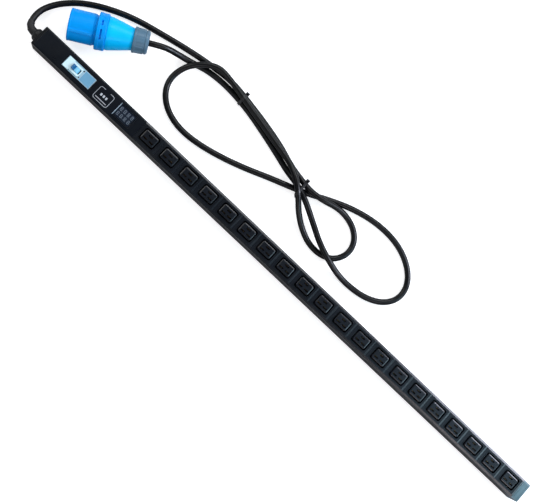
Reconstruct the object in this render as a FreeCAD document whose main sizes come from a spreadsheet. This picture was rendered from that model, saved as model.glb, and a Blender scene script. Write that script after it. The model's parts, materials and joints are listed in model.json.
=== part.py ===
import FreeCAD, Part
import math
import os
import Sketcher
from FreeCAD import Vector

# Rack power strip: an aluminium channel that lies on its back, twenty outlets in a row,
# a head with breaker, surge protector and meter, and a tied supply cord with a blue plug.
# Millimetres. X runs along the strip from the cord end to the far end, Z points up out of
# the outlets, and the origin is the centre of the strip's back face.

# ---------------------------------------------------------------- driving dimensions

SIZES = {
    # strip and its aluminium channel
    "strip_width": 39.0,
    "strip_height": 44.0,
    "head_length": 231.0,
    "outlet_pitch": 46.0,
    "outlet_count": 20,
    "far_margin": 14.0,
    "cap_length": 5.0,
    "side_wall": 1.6,
    "back_wall": 2.0,
    "lip_width": 2.0,
    "lip_height": 1.6,
    "deck_height": 3.0,
    "bevel_width": 3.6,
    "bevel_drop": 1.2,
    "boss_radius": 2.4,
    "tapped_radius": 1.25,
    "seam_gap": 0.3,
    "fit_gap": 0.2,
    # end cap screws
    "screw_radius": 1.45,
    "screw_length": 12.0,
    "screw_head_radius": 2.8,
    "cap_edge_radius": 1.5,
    # mounting nuts pressed into the back
    "nut_inset": 52.5,
    "nut_shank_radius": 3.5,
    "nut_thread_radius": 2.1,
    "nut_flange_radius": 4.75,
    "nut_flange_height": 3.0,
    # outlets
    "core_length": 27.4,
    "core_width": 19.2,
    "core_corner": 2.2,
    "groove_gap": 2.5,
    "groove_corner": 3.6,
    "groove_depth": 21.0,
    "rim_width": 1.3,
    "rim_height": 0.6,
    "shell_wall": 1.8,
    "shell_depth": 26.0,
    "end_rib_width": 2.4,
    "end_rib_height": 0.7,
    "end_rib_inset": 0.5,
    "rim_corner": 4.0,
    "slot_length": 8.6,
    "slot_width": 2.8,
    "slot_depth": 3.2,
    "pole_spacing": 13.0,
    "pole_offset": 4.0,
    "cavity_length": 9.6,
    "cavity_width": 5.2,
    "clip_length": 10.0,
    "clip_reach": 2.0,
    "clip_drop": 7.0,
    # busbars and their carrier
    "bar_width": 4.0,
    "bar_thickness": 1.0,
    "bar_upper": 12.2,
    "bar_lower": 8.6,
    "bar_offset": 10.0,
    "leaf_length": 6.6,
    "leaf_thickness": 0.8,
    "leaf_gap": 1.9,
    "leaf_top": 40.4,
    "carrier_height": 1.6,
    "carrier_rib": 3.0,
    # breaker
    "breaker_offset": 61.0,
    "breaker_length": 61.0,
    "breaker_width": 22.0,
    "label_margin": 0.6,
    "breaker_floor": 11.0,
    "breaker_split": 35.5,
    "front_base_top": 43.3,
    "front_top": 45.0,
    "front_block": 13.5,
    "ring_end": 34.0,
    "ring_width": 17.0,
    "toggle_slot_start": 15.5,
    "toggle_slot_length": 17.0,
    "toggle_slot_width": 9.8,
    "toggle_width": 9.0,
    "toggle_hub_radius": 6.6,
    "toggle_axis_height": 39.6,
    "toggle_reach": 13.0,
    "toggle_thickness": 4.8,
    "toggle_lean": 38.0,
    "toggle_taper": 0.5,
    "toggle_tip": 1.0,
    "trunnion_radius": 1.5,
    "trunnion_length": 2.2,
    "running_gap": 0.05,
    "front_screw_radius": 1.3,
    "front_screw_spacing": 14.2,
    "label_height": 0.4,
    "label_stand": 0.15,
    "label_start": 3.7,
    "label_end": 1.8,
    "housing_step": 1.0,
    "front_corner": 2.0,
    "terminal_radius": 2.4,
    "terminal_height": 3.0,
    "terminal_recess": 3.0,
    "terminal_level": 9.0,
    # meter
    "meter_offset": 178.5,
    "meter_length": 37.0,
    "meter_width": 27.0,
    "bezel_wall": 1.8,
    "bezel_stand": 0.5,
    "lens_height": 1.2,
    "lens_sink": 0.4,
    "board_height": 1.6,
    "meter_board_level": 31.0,
    "post_radius": 1.6,
    # surge protector and current transformer
    "surge_offset": 133.0,
    "surge_length": 34.0,
    "surge_board_width": 26.0,
    "surge_board_level": 30.0,
    "varistor_radius": 5.2,
    "varistor_height": 4.5,
    "transformer_radius": 8.0,
    "transformer_height": 9.0,
    "transformer_lead": 6.0,
    "varistor_spacing": 11.0,
    # gland
    "gland_height": 22.0,
    "gland_thread_radius": 10.0,
    "gland_flange_radius": 12.0,
    "gland_flange_height": 3.0,
    "gland_nut_length": 9.0,
    "gland_nut_tip_radius": 7.6,
    "locknut_radius": 12.4,
    "locknut_height": 4.0,
    # supply cord and its ties
    "cord_radius": 5.5,
    "cord_tail": 15.0,
    "core_radius": 1.9,
    "tie_width": 4.8,
    "tie_thickness": 1.2,
    "bundle_width": 45.0,
    "tie_gap": 0.2,
    "tie_head_depth": 4.0,
    "tie_head_height": 6.0,
    # earth stud
    "stud_radius": 2.5,
    "stud_height": 11.4,
    "stud_inset": 140.0,
    "stud_offset": 6.0,
    "stud_nut_margin": 2.1,
    "stud_nut_height": 4.0,
    "lug_width": 5.0,
    "lug_thickness": 1.2,
    "barrel_length": 2.5,
    "wire_level": 7.5,
    "lug_reach": 9.0,
    # plug
    "plug_length": 138.0,
    "shroud_radius": 28.0,
    "shroud_wall": 3.4,
    "shroud_depth": 40.0,
    "key_width": 7.0,
    "key_height": 1.8,
    "collar_start": 48.0,
    "collar_end": 65.0,
    "collar_radius": 32.5,
    "rear_start_radius": 29.0,
    "rear_end_radius": 19.4,
    "rear_end": 111.0,
    "rear_wall": 3.0,
    "thread_radius": 17.5,
    "thread_length": 11.0,
    "plug_nut_radius": 23.0,
    "plug_nut_end_radius": 21.2,
    "insert_depth": 24.0,
    "pin_circle_radius": 15.5,
    "power_pin_radius": 3.0,
    "earth_pin_radius": 4.0,
    "pin_recess": 8.0,
    "plug_roll": 33.0,
}

doc = FreeCAD.newDocument("RackPowerStrip")
sheet = doc.addObject("Spreadsheet::Sheet", "Sizes")
for row, (alias, number) in enumerate(SIZES.items(), start=1):
    sheet.set(f"A{row}", alias)
    sheet.set(f"B{row}", str(number))
    sheet.setAlias(f"B{row}", alias)
doc.recompute()


class Size:
    """A number from the sheet that remembers the expression it comes from."""

    def __init__(self, number, text):
        self.number = float(number)
        self.text = text

    def joined(self, other, sign):
        other = other if isinstance(other, Size) else Size(other, repr(float(other)))
        results = {
            "+": self.number + other.number,
            "-": self.number - other.number,
            "*": self.number * other.number,
        }
        return Size(results[sign], f"({self.text} {sign} {other.text})")

    def __add__(self, other):
        return self.joined(other, "+")

    def __sub__(self, other):
        return self.joined(other, "-")

    def __mul__(self, other):
        return self.joined(other, "*")

    def __radd__(self, other):
        return self + other

    def __rmul__(self, other):
        return self * other

    def __rsub__(self, other):
        return -self + other

    def __neg__(self):
        return self * -1

    def __truediv__(self, divisor):
        return Size(self.number / divisor, f"({self.text} / {divisor})")

    def __float__(self):
        return self.number


def cell(alias):
    return Size(sheet.get(alias), f"Sizes.{alias}")


# ---------------------------------------------------------------- shared helpers

sub_parts = []


def keep(thing, label):
    """Name an object and list it as a sub-part of its own."""
    thing.Label = label
    sub_parts.append(thing)
    return thing


def bind(thing, prop, size):
    """Set a property and tie it to the sheet when the size comes from there."""
    setattr(thing, prop, float(size))
    if isinstance(size, Size):
        thing.setExpression(prop, size.text)


def place(thing, x=0.0, y=0.0, z=0.0, rotation=None):
    """Place an object, each coordinate tied to the sheet when it comes from there."""
    turn = rotation or FreeCAD.Rotation()
    thing.Placement = FreeCAD.Placement(Vector(float(x), float(y), float(z)), turn)
    for axis, size in (("x", x), ("y", y), ("z", z)):
        if isinstance(size, Size):
            thing.setExpression(f".Placement.Base.{axis}", size.text)
    return thing


def box(name, length, width, height, x, y, z):
    """Box given by its sizes and its lowest corner."""
    thing = doc.addObject("Part::Box", name)
    bind(thing, "Length", length)
    bind(thing, "Width", width)
    bind(thing, "Height", height)
    return place(thing, x, y, z)


ALONG_X = FreeCAD.Rotation(Vector(0, 1, 0), 90)
ALONG_Y = FreeCAD.Rotation(Vector(1, 0, 0), -90)


def rod(name, radius, height, x, y, z, rotation=None):
    """Cylinder from a base point, along +Z unless a rotation says otherwise."""
    thing = doc.addObject("Part::Cylinder", name)
    bind(thing, "Radius", radius)
    bind(thing, "Height", height)
    return place(thing, x, y, z, rotation)


def cone(name, base_radius, top_radius, height, x, y, z, rotation=None):
    thing = doc.addObject("Part::Cone", name)
    bind(thing, "Radius1", base_radius)
    bind(thing, "Radius2", top_radius)
    bind(thing, "Height", height)
    return place(thing, x, y, z, rotation)


def fused(name, shapes):
    thing = doc.addObject("Part::MultiFuse", name)
    thing.Shapes = shapes
    return thing


def group(name, shapes):
    thing = doc.addObject("Part::Compound", name)
    thing.Links = shapes
    return thing


def cut(name, base, tools):
    thing = doc.addObject("Part::Cut", name)
    thing.Base = base
    thing.Tool = tools[0] if len(tools) == 1 else fused(f"{name}_tools", tools)
    return thing


def sketch_on(body, plane, name, lift=0.0):
    """Sketch on one of the body's own origin planes, lifted along that plane's normal."""
    sketch = body.newObject("Sketcher::SketchObject", name)
    origin_plane = next(f for f in body.Origin.OriginFeatures if f.Role == plane)
    sketch.AttachmentSupport = [(origin_plane, "")]
    sketch.MapMode = "FlatFace"
    sketch.AttachmentOffset = FreeCAD.Placement(Vector(0, 0, float(lift)), FreeCAD.Rotation())
    if isinstance(lift, Size):
        sketch.setExpression(".AttachmentOffset.Base.z", lift.text)
    return sketch


def hold(sketch, kind, axis_line, geometry, point, size):
    """Hold a sketch point at a distance from the origin, or on the axis when it is zero."""
    number = float(size)
    if abs(number) < 1e-9:
        sketch.addConstraint(Sketcher.Constraint("PointOnObject", geometry, point, axis_line))
        return
    sketch.addConstraint(Sketcher.Constraint(kind, -1, 1, geometry, point, number))
    if isinstance(size, Size):
        sketch.setExpression(f"Constraints[{sketch.ConstraintCount - 1}]", size.text)


def outline(sketch, corners):
    """Closed polygon; every corner is held by its own two sizes."""
    points = [Vector(float(x), float(y), 0) for x, y in corners]
    first = sketch.GeometryCount
    count = len(points)
    for here, there in zip(points, points[1:] + points[:1]):
        sketch.addGeometry(Part.LineSegment(here, there), False)
    for side in range(count):
        follower = first + (side + 1) % count
        sketch.addConstraint(Sketcher.Constraint("Coincident", first + side, 2, follower, 1))
    for side, (x, y) in enumerate(corners):
        hold(sketch, "DistanceX", -2, first + side, 1, x)
        hold(sketch, "DistanceY", -1, first + side, 1, y)


def chamfered(x, y, length, width, corner):
    """Corners of a centred rectangle whose four corners are cut off."""
    left, right = x - length / 2, x + length / 2
    low, high = y - width / 2, y + width / 2
    return [
        (left + corner, low), (right - corner, low), (right, low + corner), (right, high - corner),
        (right - corner, high), (left + corner, high), (left, high - corner), (left, low + corner),
    ]


def rectangle(x, y, length, width):
    left, right = x - length / 2, x + length / 2
    low, high = y - width / 2, y + width / 2
    return [(left, low), (right, low), (right, high), (left, high)]


def circle(sketch, x, y, radius):
    index = sketch.addGeometry(
        Part.Circle(Vector(float(x), float(y), 0), Vector(0, 0, 1), float(radius)), False,
    )
    hold(sketch, "DistanceX", -2, index, 3, x)
    hold(sketch, "DistanceY", -1, index, 3, y)
    sketch.addConstraint(Sketcher.Constraint("Radius", index, float(radius)))
    if isinstance(radius, Size):
        sketch.setExpression(f"Constraints[{sketch.ConstraintCount - 1}]", radius.text)


def pad(body, sketch, length, reverse=False, both_ways=False):
    feature = body.newObject("PartDesign::Pad", f"{sketch.Name}_pad")
    feature.Profile = sketch
    bind(feature, "Length", length)
    feature.Reversed = reverse
    feature.Midplane = both_ways
    return feature


def pocket(body, sketch, depth, reverse=False, both_ways=False):
    """Pocket that must take material away, or the build stops."""
    doc.recompute()
    before = body.Shape.Volume
    feature = body.newObject("PartDesign::Pocket", f"{sketch.Name}_pocket")
    feature.Profile = sketch
    bind(feature, "Length", depth)
    feature.Reversed = reverse
    feature.Midplane = both_ways
    doc.recompute()
    if not body.Shape.Volume < before:
        raise RuntimeError(f"{feature.Name} cuts nothing")
    return feature


def turned(name, label, profile, x, y, z, rotation=None):
    """Body turned about its own X axis from (along, radius) corners."""
    body = doc.addObject("PartDesign::Body", name)
    sketch = sketch_on(body, "XY_Plane", f"{name}_profile")
    outline(sketch, profile)
    feature = body.newObject("PartDesign::Revolution", f"{name}_turn")
    feature.Profile = sketch
    feature.ReferenceAxis = (sketch, ["H_Axis"])
    feature.Angle = 360
    place(body, x, y, z, rotation)
    return keep(body, label)


def round_edges(body, radius, wanted):
    """Fillet the edges of the body's tip for which wanted(edge) is true."""
    doc.recompute()
    tip = body.Tip
    names = [f"Edge{i}" for i, edge in enumerate(tip.Shape.Edges, start=1) if wanted(edge)]
    feature = body.newObject("PartDesign::Fillet", f"{body.Name}_rounding")
    feature.Base = (tip, names)
    bind(feature, "Radius", radius)
    return feature


def is_vertical(edge):
    return edge.Curve.TypeId == "Part::GeomLine" and abs(edge.Curve.Direction.z) > 0.99


# ---------------------------------------------------------------- sizes that others share

width = cell("strip_width")
height = cell("strip_height")
half_width = width / 2
wall = cell("side_wall")
lip = cell("lip_width")
back = cell("back_wall")
gap = cell("fit_gap")
seam = cell("seam_gap")
pitch = cell("outlet_pitch")
count = int(SIZES["outlet_count"])
cap_length = cell("cap_length")
rail_level = height - cell("deck_height")
row_length = pitch * cell("outlet_count")
strip_length = cell("head_length") + row_length + cell("far_margin")
start_x = -strip_length / 2
end_x = strip_length / 2
row_start = start_x + cell("head_length")
half_opening = half_width - wall - lip
boss_y = half_width - wall - cell("boss_radius")
boss_z = back + cell("boss_radius")


def deck_profile():
    """Cross-section of the strip's bevelled top pieces, from rail level up."""
    deck = cell("deck_height")
    shoulder = deck - cell("bevel_drop")
    crest = half_width - cell("bevel_width")
    return [
        (-half_width, 0.0), (half_width, 0.0), (half_width, shoulder), (crest, deck), (-crest, deck),
        (-half_width, shoulder),
    ]


def clip_profiles():
    """The two snap wedges that hook under the channel's lips."""
    root = half_opening - gap
    under = -(cell("lip_height") + gap)
    hook = root + cell("clip_reach")
    leg = root - cell("shell_wall")
    foot = -cell("clip_drop")
    right = [(leg, 0.0), (root, 0.0), (root, under), (hook, under), (root, foot), (leg, foot)]
    return [right, [(-y, z) for y, z in reversed(right)]]


# ---------------------------------------------------------------- channel

def make_channel():
    body = doc.addObject("PartDesign::Body", "Channel")
    inner = half_width - wall
    lip_level = rail_level - cell("lip_height")
    right = [
        (half_width, rail_level), (half_opening, rail_level), (half_opening, lip_level),
        (inner, lip_level), (inner, back),
    ]
    left = [(-y, z) for y, z in reversed(right)]
    section = sketch_on(body, "YZ_Plane", "channel_section")
    outline(section, [(-half_width, 0.0), (half_width, 0.0)] + right + left)
    length = strip_length - cap_length * 2
    pad(body, section, length)
    bosses = sketch_on(body, "YZ_Plane", "channel_bosses")
    for side in (-1, 1):
        circle(bosses, boss_y * side, boss_z, cell("boss_radius") + gap / 2)
    pad(body, bosses, length)
    bores = sketch_on(body, "YZ_Plane", "channel_bores")
    for side in (-1, 1):
        circle(bores, boss_y * side, boss_z, cell("tapped_radius"))
    pocket(body, bores, length, reverse=True)
    holes = sketch_on(body, "XY_Plane", "channel_nut_holes")
    for x in (cell("nut_inset") - cap_length, length + cap_length - cell("nut_inset")):
        circle(holes, x, 0.0, cell("nut_shank_radius"))
    pocket(body, holes, back, reverse=True)
    place(body, start_x + cap_length)
    keep(body, "channel")


def make_mounting_nuts():
    nuts = []
    for index, x in enumerate((start_x + cell("nut_inset"), end_x - cell("nut_inset"))):
        shank = rod(f"nut_shank_{index}", cell("nut_shank_radius"), back, x, 0.0, 0.0)
        flange = rod(
            f"nut_flange_{index}", cell("nut_flange_radius"), cell("nut_flange_height"), x, 0.0, back
        )
        bore = rod(
            f"nut_bore_{index}", cell("nut_thread_radius"), back + cell("nut_flange_height"), x, 0.0, 0.0
        )
        blank = fused(f"nut_blank_{index}", [shank, flange])
        nuts.append(cut(f"nut_{index}", blank, [bore]))
    keep(group("MountingNuts", nuts), "mounting_nuts")


# ---------------------------------------------------------------- end caps

def make_end_cap(name, label, x, inward, has_gland):
    body = doc.addObject("PartDesign::Body", name)
    face = sketch_on(body, "YZ_Plane", f"{name}_face")
    top = [(y, z + rail_level) for y, z in deck_profile()[2:]]
    outline(face, [(-half_width, 0.0), (half_width, 0.0)] + top)
    pad(body, face, cap_length, reverse=inward < 0)
    if not has_gland:
        deck = sketch_on(body, "YZ_Plane", f"{name}_deck")
        outline(deck, [(y, z + rail_level) for y, z in deck_profile()])
        pad(body, deck, cell("far_margin"), reverse=inward < 0)
    holes = sketch_on(body, "YZ_Plane", f"{name}_holes")
    for side in (-1, 1):
        circle(holes, boss_y * side, boss_z, cell("screw_radius") + gap / 2)
    if has_gland:
        circle(holes, 0.0, cell("gland_height"), cell("gland_thread_radius") + gap / 2)
    pocket(body, holes, cap_length, reverse=inward > 0)
    doc.recompute()
    drilled = body.Tip
    rims = []
    for number, edge in enumerate(drilled.Shape.Edges, start=1):
        outer_rim = edge.Curve.TypeId == "Part::GeomCircle" and abs(edge.CenterOfMass.x) < 0.01
        if outer_rim and edge.Curve.Radius < float(cell("screw_radius") + gap):
            rims.append(f"Edge{number}")
    sinks = body.newObject("PartDesign::Chamfer", f"{name}_countersinks")
    sinks.Base = (drilled, rims)
    bind(sinks, "Size", cell("screw_head_radius") - cell("screw_radius"))
    round_edges(body, cell("cap_edge_radius"), lambda e: is_vertical(e) and abs(e.CenterOfMass.x) < 0.01)
    place(body, x)
    keep(body, label)


def make_end_cap_screws():
    screws = []
    head_height = cell("screw_head_radius") - cell("screw_radius")
    inside = FreeCAD.Rotation(Vector(0, 1, 0), -90)
    for end, (x, turn) in enumerate(((start_x, ALONG_X), (end_x, inside))):
        for side in (-1, 1):
            tag = f"{end}_{'left' if side < 0 else 'right'}"
            y = boss_y * side
            head = cone(
                f"screw_head_{tag}", cell("screw_head_radius"), cell("screw_radius"), head_height, x, y,
                boss_z, turn
            )
            shank = rod(
                f"screw_shank_{tag}", cell("tapped_radius"), cell("screw_length"), x, y, boss_z, turn
            )
            screws.append(fused(f"screw_{tag}", [head, shank]))
    keep(group("EndCapScrews", screws), "end_cap_screws")


# ---------------------------------------------------------------- head panel

breaker_x = start_x + cell("breaker_offset")
breaker_y = 0.0
meter_x = start_x + cell("meter_offset") + cell("meter_length") / 2
surge_x = start_x + cell("surge_offset") + cell("surge_length") / 2


def surge_posts():
    """Places of the four posts that carry the surge board."""
    x_reach = cell("surge_length") / 2 - cell("post_radius") - 1
    y_reach = cell("surge_board_width") / 2 - cell("post_radius") - 0.5
    return [(x_reach * a, y_reach * b) for a in (-1, 1) for b in (-1, 1)]


def make_head_panel():
    body = doc.addObject("PartDesign::Body", "HeadPanel")
    length = cell("head_length") - cap_length - seam
    section = sketch_on(body, "YZ_Plane", "panel_section")
    outline(section, deck_profile())
    pad(body, section, length)
    clip_half = cell("clip_length") / 2
    for number, along in enumerate((clip_half + 6, length / 2, length - clip_half - 3)):
        clips = sketch_on(body, "YZ_Plane", f"panel_clips_{number}", lift=along)
        for profile in clip_profiles():
            outline(clips, profile)
        pad(body, clips, cell("clip_length"), both_ways=True)
    windows = sketch_on(body, "XY_Plane", "panel_windows")
    deck = cell("deck_height")
    panel_x = start_x + cap_length
    outline(
        windows,
        rectangle(
            breaker_x + cell("breaker_length") / 2 - panel_x, breaker_y,
            cell("breaker_length") + gap * 2, cell("breaker_width") + gap * 2,
        ),
    )
    outline(
        windows,
        rectangle(meter_x - panel_x, 0.0, cell("meter_length") + gap * 2, cell("meter_width") + gap * 2),
    )
    pocket(body, windows, deck, reverse=True)
    posts = sketch_on(body, "XY_Plane", "panel_posts")
    for x, y in surge_posts():
        circle(posts, surge_x - panel_x + x, y, cell("post_radius"))
    pad(body, posts, rail_level - cell("surge_board_level") - cell("board_height"), reverse=True)
    place(body, panel_x, 0.0, rail_level)
    keep(body, "head_panel")


# ---------------------------------------------------------------- breaker

toggle_x = breaker_x + cell("toggle_slot_start") + cell("toggle_slot_length") / 2
toggle_z = cell("toggle_axis_height")
terminal_y = cell("breaker_width") / 4
terminal_z = cell("breaker_floor") + cell("terminal_level")
terminal_depth = cell("terminal_height") + cell("terminal_recess")


def make_breaker_housing():
    length = cell("breaker_length")
    base_width = cell("breaker_width") + cell("housing_step") * 2
    split = cell("breaker_split")
    blank = box(
        "housing_blank", length, base_width, split - cell("breaker_floor"), breaker_x, -base_width / 2,
        cell("breaker_floor"),
    )
    hub_room = cell("toggle_hub_radius") + 0.6
    room_length = cell("toggle_slot_length")
    room = box(
        "housing_hub_room", room_length, cell("toggle_slot_width"), split - toggle_z + hub_room,
        toggle_x - room_length / 2, -cell("toggle_slot_width") / 2, toggle_z - hub_room,
    )
    tools = [room]
    for name, x in (("line", breaker_x), ("load", breaker_x + length - terminal_depth)):
        for side in (-1, 1):
            y = terminal_y * side
            tools.append(
                rod(
                    f"housing_{name}_{side + 1}", cell("terminal_radius") + gap, terminal_depth, x, y,
                    terminal_z, ALONG_X
                ),
            )
    keep(cut("BreakerHousing", blank, tools), "breaker_housing")


def make_breaker_terminals():
    terminals = []
    near_x = breaker_x + cell("terminal_recess")
    far_x = breaker_x + cell("breaker_length") - terminal_depth
    for name, x in (("line", near_x), ("load", far_x)):
        for side in (-1, 1):
            y = terminal_y * side
            terminals.append(
                rod(
                    f"terminal_{name}_{side + 1}", cell("terminal_radius"), cell("terminal_height"), x,
                    y, terminal_z, ALONG_X
                ),
            )
    keep(group("BreakerTerminals", terminals), "breaker_terminals")


def make_breaker_front():
    body = doc.addObject("PartDesign::Body", "BreakerFront")
    length = cell("breaker_length")
    full = cell("breaker_width")
    split = cell("breaker_split")
    block = cell("front_block")
    ring_end = cell("ring_end")
    ring_length = ring_end - block
    base_top = cell("front_base_top") - split
    top = cell("front_top") - split
    base = sketch_on(body, "XY_Plane", "front_base")
    outline(base, rectangle(length / 2, 0.0, length, full))
    pad(body, base, base_top)
    raised = sketch_on(body, "XY_Plane", "front_raised")
    ring_half = cell("ring_width") / 2
    corner = cell("front_corner")
    outline(raised, [
        (corner + seam, -full / 2 + seam), (block, -full / 2 + seam), (block, -ring_half),
        (ring_end - corner, -ring_half),
        (ring_end, -ring_half + corner), (ring_end, ring_half - corner), (ring_end - corner, ring_half),
        (block, ring_half),
        (block, full / 2 - seam), (corner + seam, full / 2 - seam), (seam, full / 2 - seam - corner),
        (seam, -full / 2 + seam + corner),
    ])
    pad(body, raised, top)
    slot = sketch_on(body, "XY_Plane", "front_slot")
    slot_x = cell("toggle_slot_start") + cell("toggle_slot_length") / 2
    outline(slot, rectangle(slot_x, 0.0, cell("toggle_slot_length"), cell("toggle_slot_width")))
    pocket(body, slot, top, reverse=True)
    screws = sketch_on(body, "XY_Plane", "front_screw_holes", lift=top)
    for side in (-1, 1):
        circle(
            screws, ring_end + cell("front_screw_radius") + gap, cell("front_screw_spacing") / 2 * side,
            cell("front_screw_radius"),
        )
    pocket(body, screws, top - base_top + 3)
    label_room = sketch_on(body, "XY_Plane", "front_label_room", lift=base_top)
    outline(label_room, rectangle(label_x - breaker_x, 0.0, label_length + gap, label_width + gap))
    pocket(body, label_room, cell("label_height"))
    bearing = sketch_on(body, "XZ_Plane", "front_bearing")
    circle(bearing, slot_x, toggle_z - split, cell("trunnion_radius") + cell("running_gap"))
    pocket(body, bearing, cell("toggle_width") + cell("trunnion_length") * 2 + 0.6, both_ways=True)
    place(body, breaker_x, 0.0, split)
    keep(body, "breaker_front")


label_length = cell("breaker_length") - cell("ring_end") - cell("label_start") - cell("label_end")
label_width = cell("breaker_width") - cell("label_margin") * 2
label_x = breaker_x + cell("breaker_length") - cell("label_end") - label_length / 2


def make_breaker_label():
    level = cell("front_base_top") - cell("label_height")
    plate = box(
        "BreakerLabel", label_length, label_width, cell("label_height") + cell("label_stand"),
        label_x - label_length / 2, -label_width / 2, level,
    )
    keep(plate, "breaker_label")


def make_breaker_toggle():
    """Lever on a round hub; it rests leaning towards the cord end."""
    body = doc.addObject("PartDesign::Body", "BreakerToggle")
    hub = sketch_on(body, "XZ_Plane", "toggle_hub")
    circle(hub, 0.0, 0.0, cell("toggle_hub_radius"))
    pad(body, hub, cell("toggle_width"), both_ways=True)
    lever = sketch_on(body, "XZ_Plane", "toggle_lever")
    half = cell("toggle_thickness") / 2
    reach = cell("toggle_reach")
    taper = cell("toggle_taper")
    tip = cell("toggle_tip")
    outline(
        lever,
        [
            (-half, 0.0), (half, 0.0), (half - taper, reach - tip), (half - tip, reach),
            (tip - half, reach), (taper - half, reach - tip),
        ],
    )
    pad(body, lever, cell("toggle_width"), both_ways=True)
    pins = sketch_on(body, "XZ_Plane", "toggle_trunnions")
    circle(pins, 0.0, 0.0, cell("trunnion_radius"))
    pad(body, pins, cell("toggle_width") + cell("trunnion_length") * 2, both_ways=True)
    lean = FreeCAD.Rotation(Vector(0, 1, 0), -SIZES["toggle_lean"])
    place(body, toggle_x, 0.0, toggle_z, lean)
    keep(body, "breaker_toggle")


# ---------------------------------------------------------------- meter and surge protector

def make_meter_bezel():
    length, wide = cell("meter_length"), cell("meter_width")
    wall_in = cell("bezel_wall")
    stand = height + cell("bezel_stand")
    flange = 1.6
    flange_reach = 1.2
    inset = 1.0
    frame_block = box(
        "bezel_frame", length, wide, stand - rail_level, meter_x - length / 2, -wide / 2, rail_level,
    )
    flange_block = box(
        "bezel_flange", length + flange_reach * 2, wide + flange_reach * 2, flange,
        meter_x - length / 2 - flange_reach, -wide / 2 - flange_reach, rail_level - flange,
    )
    post_height = rail_level - flange - cell("meter_board_level") - cell("board_height")
    posts = []
    for a in (-1, 1):
        for b in (-1, 1):
            x = meter_x + (length / 2 - inset) * a
            y = (wide / 2 - inset) * b
            posts.append(
                rod(
                    f"bezel_post_{a + 1}{b + 1}", cell("post_radius"), post_height, x, y,
                    rail_level - flange - post_height
                ),
            )
    blank = fused("bezel_blank", [frame_block, flange_block] + posts)
    opening = box(
        "bezel_opening", length - wall_in * 2, wide - wall_in * 2, stand - rail_level + flange,
        meter_x - length / 2 + wall_in, -wide / 2 + wall_in, rail_level - flange,
    )
    keep(cut("MeterBezel", blank, [opening]), "meter_bezel")


def make_meter_inside():
    inner_length = cell("meter_length") - cell("bezel_wall") * 2 - gap
    inner_width = cell("meter_width") - cell("bezel_wall") * 2 - gap
    lens_top = height + cell("bezel_stand") - cell("lens_sink")
    lens_level = lens_top - cell("lens_height")
    lens = box(
        "MeterLens", inner_length, inner_width, cell("lens_height"), meter_x - inner_length / 2,
        -inner_width / 2, lens_level,
    )
    keep(lens, "meter_lens")
    block_length, block_width = inner_length - 1, inner_width - 1
    level = cell("meter_board_level") + cell("board_height")
    tall = lens_level - gap - level
    display = box(
        "MeterDisplay", block_length, block_width, tall, meter_x - block_length / 2, -block_width / 2,
        level,
    )
    keep(display, "meter_display")
    board_length, board_width = cell("meter_length") + 2, cell("meter_width") + 1
    board = box(
        "MeterBoard", board_length, board_width, cell("board_height"),
        meter_x - board_length / 2, -board_width / 2, cell("meter_board_level"),
    )
    keep(board, "meter_board")


def make_surge_protector():
    length, wide = cell("surge_length"), cell("surge_board_width")
    level = cell("surge_board_level")
    board = box("SurgeBoard", length, wide, cell("board_height"), surge_x - length / 2, -wide / 2, level)
    keep(board, "surge_board")
    discs = []
    for number in range(3):
        x = surge_x + cell("varistor_spacing") * (number - 1)
        discs.append(
            rod(
                f"varistor_{number}", cell("varistor_radius"), cell("varistor_height"), x, 0.0,
                level + cell("board_height")
            ),
        )
    keep(group("SurgeVaristors", discs), "surge_varistors")


def make_current_transformer():
    x = start_x + cell("meter_offset") - cell("transformer_lead")
    ring = rod(
        "transformer_ring", cell("transformer_radius"), cell("transformer_height"), x, -terminal_y,
        terminal_z, ALONG_X,
    )
    bore = rod(
        "transformer_bore", cell("core_radius") + 1, cell("transformer_height"), x, -terminal_y,
        terminal_z, ALONG_X,
    )
    keep(cut("CurrentTransformer", ring, [bore]), "current_transformer")


# ---------------------------------------------------------------- outlets

def poles():
    """Slot centres: two poles low, earth high, as seen from above with X to the right."""
    step = cell("pole_spacing") / 2
    low = -cell("pole_offset")
    return [(-step, low), (step, low), (0.0, cell("pole_offset"))]


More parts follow.
